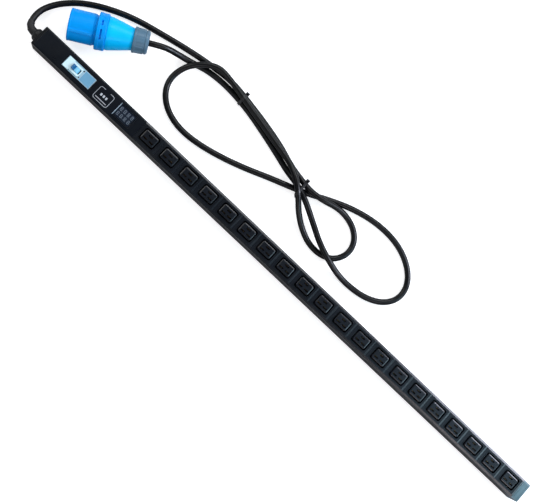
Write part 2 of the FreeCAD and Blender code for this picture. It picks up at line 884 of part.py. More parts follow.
def make_outlet(number):
    body = doc.addObject("PartDesign::Body", f"Outlet{number}")
    tag = f"outlet{number}"
    deck = cell("deck_height")
    length = pitch - seam
    groove_length = cell("core_length") + cell("groove_gap") * 2
    groove_width = cell("core_width") + cell("groove_gap") * 2
    groove_corner = cell("groove_corner")
    rim = cell("rim_width") * 2
    shell = cell("shell_wall") * 2
    plate = sketch_on(body, "YZ_Plane", f"{tag}_plate")
    outline(plate, deck_profile())
    pad(body, plate, length, both_ways=True)
    shell_sketch = sketch_on(body, "XY_Plane", f"{tag}_shell")
    outline(
        shell_sketch, chamfered(0.0, 0.0, groove_length + shell, groove_width + shell, groove_corner),
    )
    pad(body, shell_sketch, cell("shell_depth"), reverse=True)
    clips = sketch_on(body, "YZ_Plane", f"{tag}_clips")
    for profile in clip_profiles():
        outline(clips, profile)
    pad(body, clips, cell("clip_length"), both_ways=True)
    rim_sketch = sketch_on(body, "XY_Plane", f"{tag}_rim", lift=deck)
    outline(
        rim_sketch, chamfered(0.0, 0.0, groove_length + rim, groove_width + rim, cell("rim_corner")),
    )
    rib_x = length / 2 - cell("end_rib_width") / 2 - cell("end_rib_inset")
    pad(body, rim_sketch, cell("rim_height"))
    rib_sketch = sketch_on(body, "XY_Plane", f"{tag}_rib", lift=deck)
    outline(
        rib_sketch, rectangle(rib_x, 0.0, cell("end_rib_width"), (half_width - cell("bevel_width")) * 2),
    )
    pad(body, rib_sketch, cell("end_rib_height"))
    groove = sketch_on(body, "XY_Plane", f"{tag}_groove", lift=deck + cell("rim_height"))
    outline(groove, chamfered(0.0, 0.0, groove_length, groove_width, groove_corner))
    outline(groove, chamfered(0.0, 0.0, cell("core_length"), cell("core_width"), cell("core_corner")))
    pocket(body, groove, cell("groove_depth"))
    slots = sketch_on(body, "XY_Plane", f"{tag}_slots", lift=deck + cell("rim_height"))
    cavities = sketch_on(body, "XY_Plane", f"{tag}_cavities", lift=-cell("shell_depth"))
    for x, y in poles():
        outline(slots, rectangle(x, y, cell("slot_length"), cell("slot_width")))
        outline(cavities, rectangle(x, y, cell("cavity_length"), cell("cavity_width")))
    pocket(body, slots, cell("slot_depth") + 0.5)
    pocket(
        body, cavities, cell("shell_depth") + deck + cell("rim_height") - cell("slot_depth"),
        reverse=True,
    )
    place(body, row_start + pitch * (number - 0.5), 0.0, rail_level)
    keep(body, f"outlet_{number:02d}")


# ---------------------------------------------------------------- busbars

def make_busbar(name, label, bar_y, level, slot_x, slot_y):
    """Copper strip with a pair of spring leaves under every outlet's slot."""
    thin = cell("bar_thickness")
    wide = cell("bar_width")
    leaf = cell("leaf_length")
    pieces = [box(f"{name}_strip", row_length - 8, wide, thin, row_start + 4, bar_y - wide / 2, level)]
    near, far = (bar_y, slot_y) if float(bar_y) < float(slot_y) else (slot_y, bar_y)
    leaf_reach = cell("leaf_gap") / 2 + cell("leaf_thickness")
    for number in range(count):
        x = row_start + pitch * (number + 0.5) + slot_x - leaf / 2
        pieces.append(
            box(
                f"{name}_tab_{number}", leaf, far - near + leaf_reach * 2, thin, x, near - leaf_reach,
                level
            ),
        )
        for side in (-1, 1):
            y = slot_y + (
                cell("leaf_gap") + cell("leaf_thickness")
            ) / 2 * side - cell("leaf_thickness") / 2
            pieces.append(
                box(
                    f"{name}_leaf_{number}_{side + 1}", leaf, cell("leaf_thickness"),
                    cell("leaf_top") - level, x, y, level
                ),
            )
    keep(fused(name, pieces), label)


def make_busbars():
    (live_x, pole_y), (neutral_x, _), (earth_x, earth_y) = poles()
    offset = cell("bar_offset")
    make_busbar("LiveBusbar", "live_busbar", -offset, cell("bar_upper"), live_x, pole_y)
    make_busbar("NeutralBusbar", "neutral_busbar", pole_y, cell("bar_lower"), neutral_x, pole_y)
    make_busbar("EarthBusbar", "earth_busbar", offset, cell("bar_upper"), earth_x, earth_y)


def make_busbar_carrier():
    """Insulating tray on the channel's floor with a rib under the bars at each boundary."""
    rib = cell("carrier_rib")
    floor_width = (boss_y - cell("boss_radius") - 0.6) * 2
    length = row_length - 10
    floor_x = row_start + 5
    top = cell("carrier_height")
    pieces = [box("carrier_floor", length, floor_width, top, floor_x, -floor_width / 2, back)]
    bar = cell("bar_width")
    rows = [
        ("live", -cell("bar_offset"), cell("bar_upper")),
        ("neutral", -cell("pole_offset"), cell("bar_lower")),
        ("earth", cell("bar_offset"), cell("bar_upper")),
    ]
    for number in range(count - 1):
        x = row_start + pitch * (number + 1) - rib / 2
        for name, y, level in rows:
            pieces.append(box(f"carrier_{name}_{number}", rib, bar, level - back, x, y - bar / 2, back))
    hole = rod(
        "carrier_nut_hole", cell("nut_flange_radius") + 0.5, top, end_x - cell("nut_inset"), 0.0, back,
    )
    keep(cut("BusbarCarrier", fused("carrier_blank", pieces), [hole]), "busbar_carrier")


# ---------------------------------------------------------------- gland

def make_gland():
    thread = cell("gland_thread_radius")
    flange = cell("gland_flange_radius")
    thick = cell("gland_flange_height")
    sleeve = cell("cord_radius") + gap
    seal = cell("cord_radius") + 2.6
    inside = cap_length + cell("locknut_height") + 2
    level = cell("gland_height")
    tip = cell("gland_nut_length") + thick
    turned("GlandBody", "gland_body", [
        (-thick, seal), (-thick, flange), (0.0, flange), (0.0, thread), (inside, thread),
        (inside, sleeve), (3.0, sleeve), (3.0, seal),
    ], start_x, 0.0, level)
    turned("GlandSeal", "gland_seal", [
        (-thick - 4, sleeve - gap), (-thick - 4, seal - 0.8), (-thick, seal - gap / 2),
        (3.0 - gap, seal - gap / 2), (3.0 - gap, sleeve - gap),
    ], start_x, 0.0, level)
    turned("GlandNut", "gland_nut", [
        (-tip, sleeve), (-tip, cell("gland_nut_tip_radius")), (-tip + 2.4, flange - 1.6),
        (-tip + 4.4, flange), (-thick - 0.1, flange),
        (-thick - 0.1, seal), (-thick - 4.2, seal), (-thick - 5.6, sleeve),
    ], start_x, 0.0, level)
    hole = thread + gap / 2
    prism = doc.addObject("Part::Prism", "locknut_hex")
    prism.Polygon = 6
    bind(prism, "Circumradius", cell("locknut_radius"))
    bind(prism, "Height", cell("locknut_height"))
    place(prism, start_x + cap_length + 0.1, 0.0, level, ALONG_X)
    bore = rod(
        "locknut_bore", hole, cell("locknut_height"), start_x + cap_length + 0.1, 0.0, level, ALONG_X,
    )
    keep(cut("GlandLocknut", prism, [bore]), "gland_locknut")


# ---------------------------------------------------------------- supply cord

# The cord's route, chosen by hand: gland, bundle, short loop, bundle, left loop, long
# loop, bundle, plug. Each row is one stretch between two crossings.
CORD_ROUTE = [
    (-594.5, 0, 22), (-603, 0, 22), (-610, 6, 21), (-614.5, 19, 18.5), (-615.5, 36, 14.5), (-610, 54, 10),
    (-599, 73.5, 7), (-577, 97.5, 5.5),
    (-541, 121, 5.5), (-495, 141.5, 5.5), (-443, 155, 5.5), (-396, 166.5, 5.5), (-349, 175.5, 5.5),
    (-300, 181.5, 7), (-250, 175, 7), (-202, 167.5, 7), (-156, 157.5, 7), (-117, 144.5, 7),
    (-88, 139, 10), (-63, 134, 17.5), (-35, 138, 18), (-10, 147, 12), (15, 149, 6.5), (41, 141, 5.5),
    (59, 123, 5.5),
    (63, 99, 5.5), (51, 76, 5.5), (28, 65, 5.5), (0, 65, 5.5), (-27, 75, 8), (-52, 90, 17),
    (-73, 109, 28.5), (-98, 131, 28.5), (-124, 145, 19.5),
    (-162, 152, 17.5), (-206, 161, 17.5), (-252, 169.5, 17.5), (-296, 178, 18), (-334, 182, 17.5),
    (-368, 151, 17),
    (-379, 122, 7), (-376, 97, 5.5), (-361, 76, 5.5), (-336, 61, 5.5), (-302, 54.5, 5.5),
    (-260, 59, 5.5),
    (-214, 71, 5.5), (-172, 86, 5.5), (-134, 102, 6), (-99, 115, 7), (-62, 130, 7), (-25, 150, 5.5),
    (18, 168, 5.5), (67, 179, 5.5), (115, 178, 5.5), (155, 163, 5.5), (181, 138, 5.5), (187, 108, 5.5),
    (172, 82, 5.5), (143, 66, 5.5), (109, 60, 5.5), (76, 60, 9), (45, 66, 18), (12, 77, 18),
    (-25, 98, 15), (-62, 117, 18.3), (-92, 127, 17.9), (-117, 132.5, 8),
    (-153, 142.7, 7), (-198, 153.7, 7), (-243, 163.2, 7), (-293, 168.7, 6.5), (-338, 166, 5.5),
    (-371, 155.5, 5.5),
    (-395, 148, 13), (-414, 140, 26), (-430, 130.5, 32.5), (-444, 122, 32.5),
]
TIE_PLACES = (-262.0, -79.0)


def tube(name, route, radius, bend=None):
    """Round tube along straight runs joined by tangent arcs, as large as the runs allow."""
    points = [Vector(*point) for point in route]
    edges = []
    radii = []
    reached = points[0]
    for before, corner, after in zip(points, points[1:], points[2:]):
        back_way = (before - corner).normalize()
        on_way = (after - corner).normalize()
        turn = math.pi - back_way.getAngle(on_way)
        trim = 0.45 * min(before.distanceToPoint(corner), after.distanceToPoint(corner))
        if bend:
            trim = min(trim, bend * math.tan(turn / 2))
        arc_radius = trim / math.tan(turn / 2)
        enter = corner + back_way * trim
        leave = corner + on_way * trim
        inward = (back_way + on_way).normalize()
        middle = corner + inward * (math.hypot(arc_radius, trim) - arc_radius)
        edges.append(Part.LineSegment(reached, enter).toShape())
        edges.append(Part.Arc(enter, middle, leave).toShape())
        radii.append(arc_radius)
        reached = leave
    edges.append(Part.LineSegment(reached, points[-1]).toShape())
    spine = Part.Wire(edges)
    ring = Part.Wire(Part.makeCircle(radius, points[0], points[1] - points[0]))
    shape = spine.makePipeShell([ring], True, False)
    if abs(shape.Volume / (math.pi * radius**2 * spine.Length) - 1) > 0.01:
        raise RuntimeError(f"{name}: volume is not section times length")
    return shape, spine.Length, radii


def make_cord():
    radius = SIZES["cord_radius"]
    shape, length, radii = tube("supply_cord", CORD_ROUTE, radius)
    print(
        f"supply_cord: length {length:.0f} mm, {len(CORD_ROUTE)} points, radii",
        " ".join(f"{r:.0f}" for r in radii)
    )
    cord = doc.addObject("Part::Feature", "SupplyCord")
    cord.Shape = shape
    keep(cord, "supply_cord")
    make_cord_ties(shape)
    tip_x = start_x - cell("gland_flange_height") - cell("gland_nut_length")
    tail_length = cell("gland_flange_height") + cell("gland_nut_length") + cap_length + cell("cord_tail")
    keep(
        rod("CordInnerEnd", cell("cord_radius"), tail_length, tip_x, 0.0, cell("gland_height"), ALONG_X),
        "cord_inner_end",
    )


def hull(points):
    """Corners of the convex outline round some (y, z) points, in order."""
    points = sorted(set(points))
    chains = []
    for run in (points, points[::-1]):
        chain = []
        for y, z in run:
            while len(chain) > 1:
                (y1, z1), (y2, z2) = chain[-2:]
                if (y2 - y1) * (z - z1) - (z2 - z1) * (y - y1) > 1e-6:
                    break
                chain.pop()
            chain.append((y, z))
        chains.append(chain[:-1])
    return chains[0] + chains[1]


def make_cord_ties(cord_shape):
    """Two straps drawn tight round the bundle, each with a square head."""
    thick = SIZES["tie_thickness"]
    wide = SIZES["tie_width"]
    gap_round = SIZES["tie_gap"]
    head_wide = wide + 2
    head_deep = SIZES["tie_head_depth"]
    head_tall = SIZES["tie_head_height"]
    straps = []
    for x in TIE_PLACES:
        held = []
        for face_x in (x - wide / 2, x + wide / 2):
            rings = cord_shape.slice(Vector(1, 0, 0), face_x)
            edge = max(ring.BoundBox.YMax for ring in rings)
            for ring in rings:
                if edge - ring.BoundBox.YMax < SIZES["bundle_width"]:
                    for side in ring.Edges:
                        held += [(point.y, point.z) for point in side.discretize(25)]
        corners = [Vector(x - wide / 2, y, z) for y, z in hull(held)]
        loop = Part.makePolygon(corners + corners[:1])
        inner = loop.makeOffset2D(gap_round, 0)
        outer = loop.makeOffset2D(gap_round + thick, 0)
        strap = Part.Face(outer).cut(Part.Face(inner)).extrude(Vector(wide, 0, 0))
        side = max(corners, key=lambda corner: corner.y)
        head_corner = Vector(
            x - head_wide / 2, side.y + gap_round + thick / 2, side.z - head_tall / 3,
        )
        straps.append(strap.fuse(Part.makeBox(head_wide, head_deep, head_tall, head_corner)))
    ties = doc.addObject("Part::Feature", "CordTies")
    ties.Shape = Part.makeCompound(straps)
    keep(ties, "cord_ties")


# ---------------------------------------------------------------- wires in the head

def make_wires():
    radius = SIZES["core_radius"]
    tail_x = float(start_x + cap_length + cell("cord_tail"))
    tail_z = SIZES["gland_height"]
    line_x = float(breaker_x + cell("terminal_recess"))
    load_x = float(breaker_x + cell("breaker_length") - cell("terminal_recess"))
    pole_y = float(terminal_y)
    pole_z = float(terminal_z)
    row_x = float(row_start) + 4
    outer_y = SIZES["bar_offset"]
    outer_z = SIZES["bar_upper"] + 0.5
    neutral_y = -SIZES["pole_offset"]
    neutral_z = SIZES["bar_lower"] + 0.5
    low = SIZES["wire_level"]
    stud_x = float(start_x) + SIZES["stud_inset"]
    reach = SIZES["lug_reach"]

    def wires(name, label, routes):
        shapes = [tube(name, route, radius, radius * 4)[0] for route in routes]
        feature = doc.addObject("Part::Feature", name)
        feature.Shape = Part.makeCompound(shapes)
        keep(feature, label)

    def line_side(side):
        """From the cord's end to one of the breaker's line terminals."""
        y, z = 2.6 * side, tail_z + 2
        return [
            (tail_x, y, z), (tail_x + 8, y, z), (line_x - 10, pole_y * side, pole_z),
            (line_x, pole_y * side, pole_z),
        ]

    def load_side(side, bar_y, bar_z):
        """From one of the breaker's load terminals to the start of a busbar."""
        y = pole_y * side
        return [
            (load_x, y, pole_z), (load_x + 72, y, pole_z), (row_x - 26, bar_y, bar_z),
            (row_x, bar_y, bar_z),
        ]

    wires("LiveWires", "live_wires", [line_side(-1), load_side(-1, -outer_y, outer_z)])
    wires("NeutralWires", "neutral_wires", [line_side(1), load_side(1, neutral_y, neutral_z)])
    earth_z = tail_z - 2.6
    wires("EarthWires", "earth_wires", [
        [
            (tail_x, 0, earth_z), (tail_x + 8, 0, earth_z), (tail_x + 26, 0, low),
            (stud_x - reach - 30, 0, low),
            (stud_x - reach - 12, 6, low), (stud_x - reach, 6, low),
        ],
        [
            (stud_x + reach, 6, low), (stud_x + reach + 12, 6, low), (row_x - 44, 8, low),
            (row_x - 20, outer_y, outer_z), (row_x, outer_y, outer_z),
        ],
    ])


def make_earth_stud():
    """Stud through the back with a lug on each side held between two nuts."""
    x = start_x + cell("stud_inset")
    y = cell("stud_offset")
    nut_height = cell("stud_nut_height")
    lug = cell("lug_thickness")
    lug_wide = cell("lug_width")
    barrel = cell("barrel_length")
    lug_level = back + nut_height
    reach = cell("lug_reach")
    pieces = [rod("stud_shank", cell("stud_radius"), cell("stud_height"), x, y, back)]
    for name, level in (("lower", back), ("upper", lug_level + lug)):
        nut = doc.addObject("Part::Prism", f"stud_{name}_nut")
        nut.Polygon = 6
        bind(nut, "Circumradius", cell("stud_radius") + cell("stud_nut_margin"))
        bind(nut, "Height", nut_height)
        pieces.append(place(nut, x, y, level))
    pieces.append(
        box("stud_lug", reach * 2 - 2, lug_wide, lug, x - reach + 1, y - lug_wide / 2, lug_level),
    )
    for name, barrel_x in (("in", x - reach), ("out", x + reach - barrel)):
        barrel_radius = cell("core_radius") + 0.4
        pieces.append(
            rod(f"stud_barrel_{name}", barrel_radius, barrel, barrel_x, y, cell("wire_level"), ALONG_X),
        )
    keep(fused("EarthStud", pieces), "earth_stud")


# ---------------------------------------------------------------- plug

nut_end = Vector(*CORD_ROUTE[-1])
cord_in = (nut_end - Vector(*CORD_ROUTE[-2])).normalize()
mouth = nut_end + cord_in * SIZES["plug_length"]
plug_yaw = FreeCAD.Rotation(Vector(1, 0, 0), -cord_in)
plug_turn = plug_yaw.multiply(FreeCAD.Rotation(Vector(1, 0, 0), SIZES["plug_roll"]))


def plug_piece(name, label, profile):
    return turned(name, label, profile, mouth.x, mouth.y, mouth.z, plug_turn)


def make_plug_shroud():
    outer = cell("shroud_radius")
    bore = outer - cell("shroud_wall")
    seat = bore - 1.6
    collar = cell("collar_radius")
    depth = cell("shroud_depth")
    start, end = cell("collar_start"), cell("collar_end")
    body = doc.addObject("PartDesign::Body", "PlugShroud")
    sketch = sketch_on(body, "XY_Plane", "shroud_profile")
    outline(sketch, [
        (0.0, bore), (0.0, outer - 0.8), (0.8, outer), (start - 0.5, outer), (start, collar - 0.8),
        (start + 0.8, collar),
        (end - 0.8, collar), (end, collar - 0.8), (end, seat), (depth, seat), (depth, bore),
    ])
    feature = body.newObject("PartDesign::Revolution", "shroud_turn")
    feature.Profile = sketch
    feature.ReferenceAxis = (sketch, ["H_Axis"])
    feature.Angle = 360
    key = sketch_on(body, "YZ_Plane", "shroud_key")
    outline(
        key,
        rectangle(
            0.0, outer + cell("key_height") / 2 - 0.6, cell("key_width"), cell("key_height") + 1.2,
        ),
    )
    pad(body, key, start - 6)
    place(body, mouth.x, mouth.y, mouth.z, plug_turn)
    keep(body, "plug_shroud")


def make_plug_insert_and_pins():
    seat = cell("shroud_radius") - cell("shroud_wall") - 1.6
    front = cell("shroud_depth") - 4
    back_face = front + cell("insert_depth")
    disc = doc.addObject("Part::Cylinder", "insert_disc")
    bind(disc, "Radius", seat - gap / 2)
    bind(disc, "Height", cell("insert_depth"))
    local = FreeCAD.Placement(mouth, plug_turn)

    def laid(thing, along, across, up):
        """Put a cylinder into the plug's own frame, pointing along its axis."""
        shift = FreeCAD.Placement(Vector(float(along), float(across), float(up)), ALONG_X)
        thing.Placement = local.multiply(shift)
        return thing

    laid(disc, front, 0, 0)
    ring = SIZES["pin_circle_radius"]
    angles = {"earth": 90, "live": 210, "neutral": 330}
    pins = {}
    holes = []
    for name, angle in angles.items():
        radius = cell("earth_pin_radius") if name == "earth" else cell("power_pin_radius")
        across = ring * math.cos(math.radians(angle))
        up = ring * math.sin(math.radians(angle))
        pin_length = back_face + 4 - cell("pin_recess")
        shank = doc.addObject("Part::Cylinder", f"pin_{name}")
        bind(shank, "Radius", radius)
        bind(shank, "Height", pin_length - radius)
        laid(shank, cell("pin_recess") + radius, across, up)
        nose = doc.addObject("Part::Sphere", f"pin_{name}_nose")
        bind(nose, "Radius", radius)
        laid(nose, cell("pin_recess") + radius, across, up)
        pins[name] = fused(f"pin_{name}_whole", [shank, nose])
        hole = doc.addObject("Part::Cylinder", f"pin_{name}_hole")
        bind(hole, "Radius", radius)
        bind(hole, "Height", cell("insert_depth"))
        laid(hole, front, across, up)
        holes.append(hole)
    keep(cut("PlugInsert", disc, holes), "plug_insert")
    keep(group("PlugPowerPins", [pins["live"], pins["neutral"]]), "plug_power_pins")
    keep(pins["earth"], "plug_earth_pin")


def make_plug_rear():
    seat = cell("shroud_radius") - cell("shroud_wall") - 1.6 - gap / 2
    start, end = cell("collar_end") + gap, cell("rear_end")
    first, last = cell("rear_start_radius"), cell("rear_end_radius")
    thick = cell("rear_wall")
    thread = cell("thread_radius")
    thread_end = end + cell("thread_length")
    plug_piece("PlugRear", "plug_rear_body", [
        (start, seat - thick), (start, first), (start + 6, first), (end - 4, last), (end, last),
        (end, thread),
        (thread_end, thread), (thread_end, thread - thick), (end - 2, thread - thick),
        (start + 6, seat - thick),
    ])
    nut_start = end + gap
    nut_end_at = cell("plug_length")
    sleeve = cell("cord_radius") + gap
    plug_piece("PlugNut", "plug_nut", [
        (nut_start, thread + gap / 2), (nut_start, cell("plug_nut_radius")),
        (nut_end_at - 3, cell("plug_nut_end_radius")),
        (nut_end_at, cell("plug_nut_end_radius") - 3), (nut_end_at, sleeve), (nut_end_at - 8, sleeve),
        (thread_end + 1, thread - thick), (thread_end + 1, thread + gap / 2),
    ])
    tail_start = end - 20
    tail = doc.addObject("Part::Cylinder", "PlugCordEnd")
    bind(tail, "Radius", cell("cord_radius"))
    bind(tail, "Height", nut_end_at - tail_start)
    tail.Placement = FreeCAD.Placement(mouth, plug_turn).multiply(
        FreeCAD.Placement(Vector(float(tail_start), 0, 0), ALONG_X),
    )
    keep(tail, "plug_cord_end")


# ---------------------------------------------------------------- the whole strip

make_channel()
make_mounting_nuts()
make_end_cap("InletEndCap", "inlet_end_cap", start_x, 1, True)
make_end_cap("FarEndCap", "far_end_cap", end_x, -1, False)
make_end_cap_screws()
make_head_panel()
make_breaker_housing()
make_breaker_terminals()
make_breaker_front()
make_breaker_label()
make_breaker_toggle()
make_meter_bezel()
make_meter_inside()
make_surge_protector()
make_current_transformer()
for outlet_number in range(1, count + 1):
    make_outlet(outlet_number)
make_busbars()
make_busbar_carrier()
make_gland()
make_cord()
make_wires()
make_earth_stud()
make_plug_shroud()
make_plug_insert_and_pins()
make_plug_rear()
doc.recompute()

for thing in doc.Objects:
    if "Invalid" in thing.State or "Error" in thing.State:
        raise RuntimeError(f"{thing.Name} did not compute: {thing.State}")
for thing in sub_parts:
    if thing.Shape.isNull() or not thing.Shape.isValid():
        raise RuntimeError(f"{thing.Label} has no valid shape")

os.makedirs("parts", exist_ok=True)
for thing in sub_parts:
    thing.Shape.exportStep(f"parts/{thing.Label}.step")
    solids = len(thing.Shape.Solids)
    print(f"{thing.Label}: {solids} solid(s), {thing.Shape.Volume / 1000:.2f} cm3")
print(f"{len(sub_parts)} nodes, strip length {float(strip_length):.0f} mm")
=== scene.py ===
import json
import math

import bmesh
import bpy
from bpy.props import FloatProperty, FloatVectorProperty, IntProperty, PointerProperty
from mathutils import Matrix, Vector


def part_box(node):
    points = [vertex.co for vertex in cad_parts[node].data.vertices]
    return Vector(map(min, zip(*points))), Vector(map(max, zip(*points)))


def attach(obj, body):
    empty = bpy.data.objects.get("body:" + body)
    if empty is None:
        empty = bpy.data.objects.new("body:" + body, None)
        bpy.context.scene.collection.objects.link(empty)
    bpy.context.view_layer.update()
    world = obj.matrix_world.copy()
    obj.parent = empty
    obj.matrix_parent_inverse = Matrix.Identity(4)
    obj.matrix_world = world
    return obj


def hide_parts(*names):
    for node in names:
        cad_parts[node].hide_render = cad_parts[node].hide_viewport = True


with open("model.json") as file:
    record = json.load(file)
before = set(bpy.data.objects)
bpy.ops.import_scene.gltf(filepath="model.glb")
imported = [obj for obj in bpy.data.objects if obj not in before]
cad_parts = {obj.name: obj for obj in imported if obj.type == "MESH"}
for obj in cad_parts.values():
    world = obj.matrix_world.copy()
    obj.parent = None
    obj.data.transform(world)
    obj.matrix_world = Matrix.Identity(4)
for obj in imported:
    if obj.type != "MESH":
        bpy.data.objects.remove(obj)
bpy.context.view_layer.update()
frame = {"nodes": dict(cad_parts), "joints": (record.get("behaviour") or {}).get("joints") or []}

bl_info = {
    "name": "Rack Power Strip",
    "version": (1, 0, 0),
    "blender": (4, 5, 0),
    "location": "View3D > Sidebar > Power Strip",
    "description": "Builds the visible pieces of a rack power strip around its packed frame",
    "category": "Add Mesh",
}

MM = 0.001

# The cord's route in metres, in order from the gland to the plug: past the plug into the tied
# bundle, round its loops, and back through the bundle.
CORD_ROUTE = [
    (-0.5945, 0, 0.022), (-0.603, 0, 0.022), (-0.61, 0.006, 0.021), (-0.6145, 0.019, 0.0185),
    (-0.6155, 0.036, 0.0145), (-0.61, 0.054, 0.01), (-0.599, 0.0735, 0.007), (-0.577, 0.0975, 0.0055),
    (-0.541, 0.121, 0.0055), (-0.495, 0.1415, 0.0055), (-0.443, 0.155, 0.0055), (-0.396, 0.1665, 0.0055),
    (-0.349, 0.1755, 0.0055),
    (-0.3, 0.1815, 0.007), (-0.25, 0.175, 0.007), (-0.202, 0.1675, 0.007), (-0.156, 0.1575, 0.007),
    (-0.117, 0.1445, 0.007),
    (-0.088, 0.139, 0.01), (-0.063, 0.134, 0.0175), (-0.035, 0.138, 0.018), (-0.01, 0.147, 0.012),
    (0.015, 0.149, 0.0065), (0.041, 0.141, 0.0055), (0.059, 0.123, 0.0055),
    (0.063, 0.099, 0.0055), (0.051, 0.076, 0.0055), (0.028, 0.065, 0.0055), (0, 0.065, 0.0055),
    (-0.027, 0.075, 0.008), (-0.052, 0.09, 0.017),
    (-0.073, 0.109, 0.0285), (-0.098, 0.131, 0.0285), (-0.124, 0.145, 0.0195),
    (-0.162, 0.152, 0.0175), (-0.206, 0.161, 0.0175), (-0.252, 0.1695, 0.0175), (-0.296, 0.178, 0.018),
    (-0.334, 0.182, 0.0175), (-0.368, 0.151, 0.017),
    (-0.379, 0.122, 0.007), (-0.376, 0.097, 0.0055), (-0.361, 0.076, 0.0055), (-0.336, 0.061, 0.0055),
    (-0.302, 0.0545, 0.0055), (-0.26, 0.059, 0.0055),
    (-0.214, 0.071, 0.0055), (-0.172, 0.086, 0.0055), (-0.134, 0.102, 0.006), (-0.099, 0.115, 0.007),
    (-0.062, 0.13, 0.007), (-0.025, 0.15, 0.0055),
    (0.018, 0.168, 0.0055), (0.067, 0.179, 0.0055), (0.115, 0.178, 0.0055), (0.155, 0.163, 0.0055),
    (0.181, 0.138, 0.0055), (0.187, 0.108, 0.0055),
    (0.172, 0.082, 0.0055), (0.143, 0.066, 0.0055), (0.109, 0.06, 0.0055), (0.076, 0.06, 0.009),
    (0.045, 0.066, 0.018), (0.012, 0.077, 0.018),
    (-0.025, 0.098, 0.015), (-0.062, 0.117, 0.0183), (-0.092, 0.127, 0.0179), (-0.117, 0.1325, 0.008),
    (-0.153, 0.1427, 0.007), (-0.198, 0.1537, 0.007), (-0.243, 0.1632, 0.007), (-0.293, 0.1687, 0.0065),
    (-0.338, 0.166, 0.0055), (-0.371, 0.1555, 0.0055),
    (-0.395, 0.148, 0.013), (-0.414, 0.14, 0.026), (-0.43, 0.1305, 0.0325), (-0.444, 0.122, 0.0325),
]


# ---------------------------------------------------------------- sizes and colours

class StageSettings(bpy.types.PropertyGroup):
    eye: FloatVectorProperty(
        name="Camera place", description="Where the camera stands", subtype="XYZ", unit="LENGTH",
        default=(-0.1936, -0.2501, 1.8391),
    )
    aim: FloatVectorProperty(
        name="Camera aim", description="Point that the camera looks at", subtype="XYZ", unit="LENGTH",
        default=(-0.0303, 0.0171, 0.02),
    )
    up: FloatVectorProperty(
        name="View up", description="Direction that points up in the view", subtype="DIRECTION",
        default=(-0.6858, 0.7264, 0.0451),
    )
    lens: FloatProperty(name="Lens", description="Focal length in millimetres", default=67.5, min=10)
    floor_tone: FloatVectorProperty(
        name="Floor", description="Colour of the floor", subtype="COLOR", default=(0.6, 0.6, 0.6),
    )
    floor_glow: FloatProperty(
        name="Floor glow", description="Light added to the floor as the camera sees it", default=0.75,
        min=0, max=1,
    )


class CordSettings(bpy.types.PropertyGroup):
    diameter: FloatProperty(
        name="Diameter", description="Outside diameter of the sheath", unit="LENGTH", default=0.011,
    )
    length: FloatProperty(
        name="Length", description="Length from gland to plug", unit="LENGTH", default=2.68,
    )
    tone: FloatVectorProperty(
        name="Sheath", description="Colour of the cord's sheath", subtype="COLOR",
        default=(0.0022, 0.0023, 0.0026),
    )


class StripSettings(bpy.types.PropertyGroup):
    channel_tone: FloatVectorProperty(
        name="Channel", description="Colour of the channel's paint", subtype="COLOR",
        default=(0.0025, 0.0025, 0.003),
    )
    plastic_tone: FloatVectorProperty(
        name="Plastic", description="Colour of the top pieces", subtype="COLOR",
        default=(0.0028, 0.0042, 0.0068),
    )
    label_tone: FloatVectorProperty(
        name="Label", description="Colour of the breaker's label", subtype="COLOR",
        default=(0.13, 0.33, 0.49),
    )
    toggle_tone: FloatVectorProperty(
        name="Toggle", description="Colour of the breaker's toggle", subtype="COLOR",
        default=(0.003, 0.1, 0.26),
    )


class OutletSettings(bpy.types.PropertyGroup):
    groove_depth: FloatProperty(
        name="Groove depth", description="Depth of the groove round the core", unit="LENGTH",
        default=0.021,
    )
    groove_gap: FloatProperty(
        name="Groove width", description="Width of the groove round the core", unit="LENGTH",
        default=0.0028,
    )
    rim: FloatProperty(
        name="Rim", description="Width of the raised rim round the groove", unit="LENGTH",
        default=0.0013,
    )


class PlugSettings(bpy.types.PropertyGroup):
    length: FloatProperty(
        name="Length", description="Length from mouth to nut", unit="LENGTH", default=0.138,
    )
    roll: FloatProperty(
        name="Roll", description="Turn about the plug's own axis", subtype="ANGLE",
        default=math.radians(33),
    )
    blue: FloatVectorProperty(
        name="Blue", description="Colour of the plug's plastic", subtype="COLOR",
        default=(0.0, 0.31, 0.85),
    )
    rear_blue: FloatVectorProperty(
        name="Rear blue", description="Colour of the plug's rear body", subtype="COLOR",
        default=(0.0, 0.48, 0.95),
    )
    ribs: IntProperty(name="Grip ribs", description="Number of flats round the nut", default=12, min=6)


# ---------------------------------------------------------------- modelling helpers

def clear_selection():
    if bpy.context.object and bpy.context.object.mode != "OBJECT":
        bpy.ops.object.mode_set(mode="OBJECT")
    bpy.ops.object.select_all(action="DESELECT")


def activate(*things):
    """Select these objects alone; the first becomes active."""
    clear_selection()
    for thing in things:
        thing.select_set(True)
    bpy.context.view_layer.objects.active = things[0]


def settle(thing):
    """Put an object's place, turn and scale into its mesh."""
    activate(thing)
    bpy.ops.object.transform_apply(location=True, rotation=True, scale=True)
    return thing


def added(name):
    thing = bpy.context.object
    thing.name = name
    thing.data.name = name
    return thing


def block(name, low, high):
    """Box between two corners, in millimetres."""
    low = Vector(low)
    high = Vector(high)
    clear_selection()
    bpy.ops.mesh.primitive_cube_add(size=1, location=(low + high) / 2 * MM)
    thing = added(name)
    thing.scale = (high - low) * MM
    return settle(thing)


def rod(name, centre, radius, height, sides=48, top_radius=None):
    """Upright round bar or cone from a base centre, in millimetres."""
    clear_selection()
    bpy.ops.mesh.primitive_cone_add(
        vertices=sides, radius1=radius * MM, radius2=(radius if top_radius is None else top_radius) * MM,
        depth=height * MM, location=(Vector(centre) + Vector((0, 0, height / 2))) * MM,
    )
    return settle(added(name))


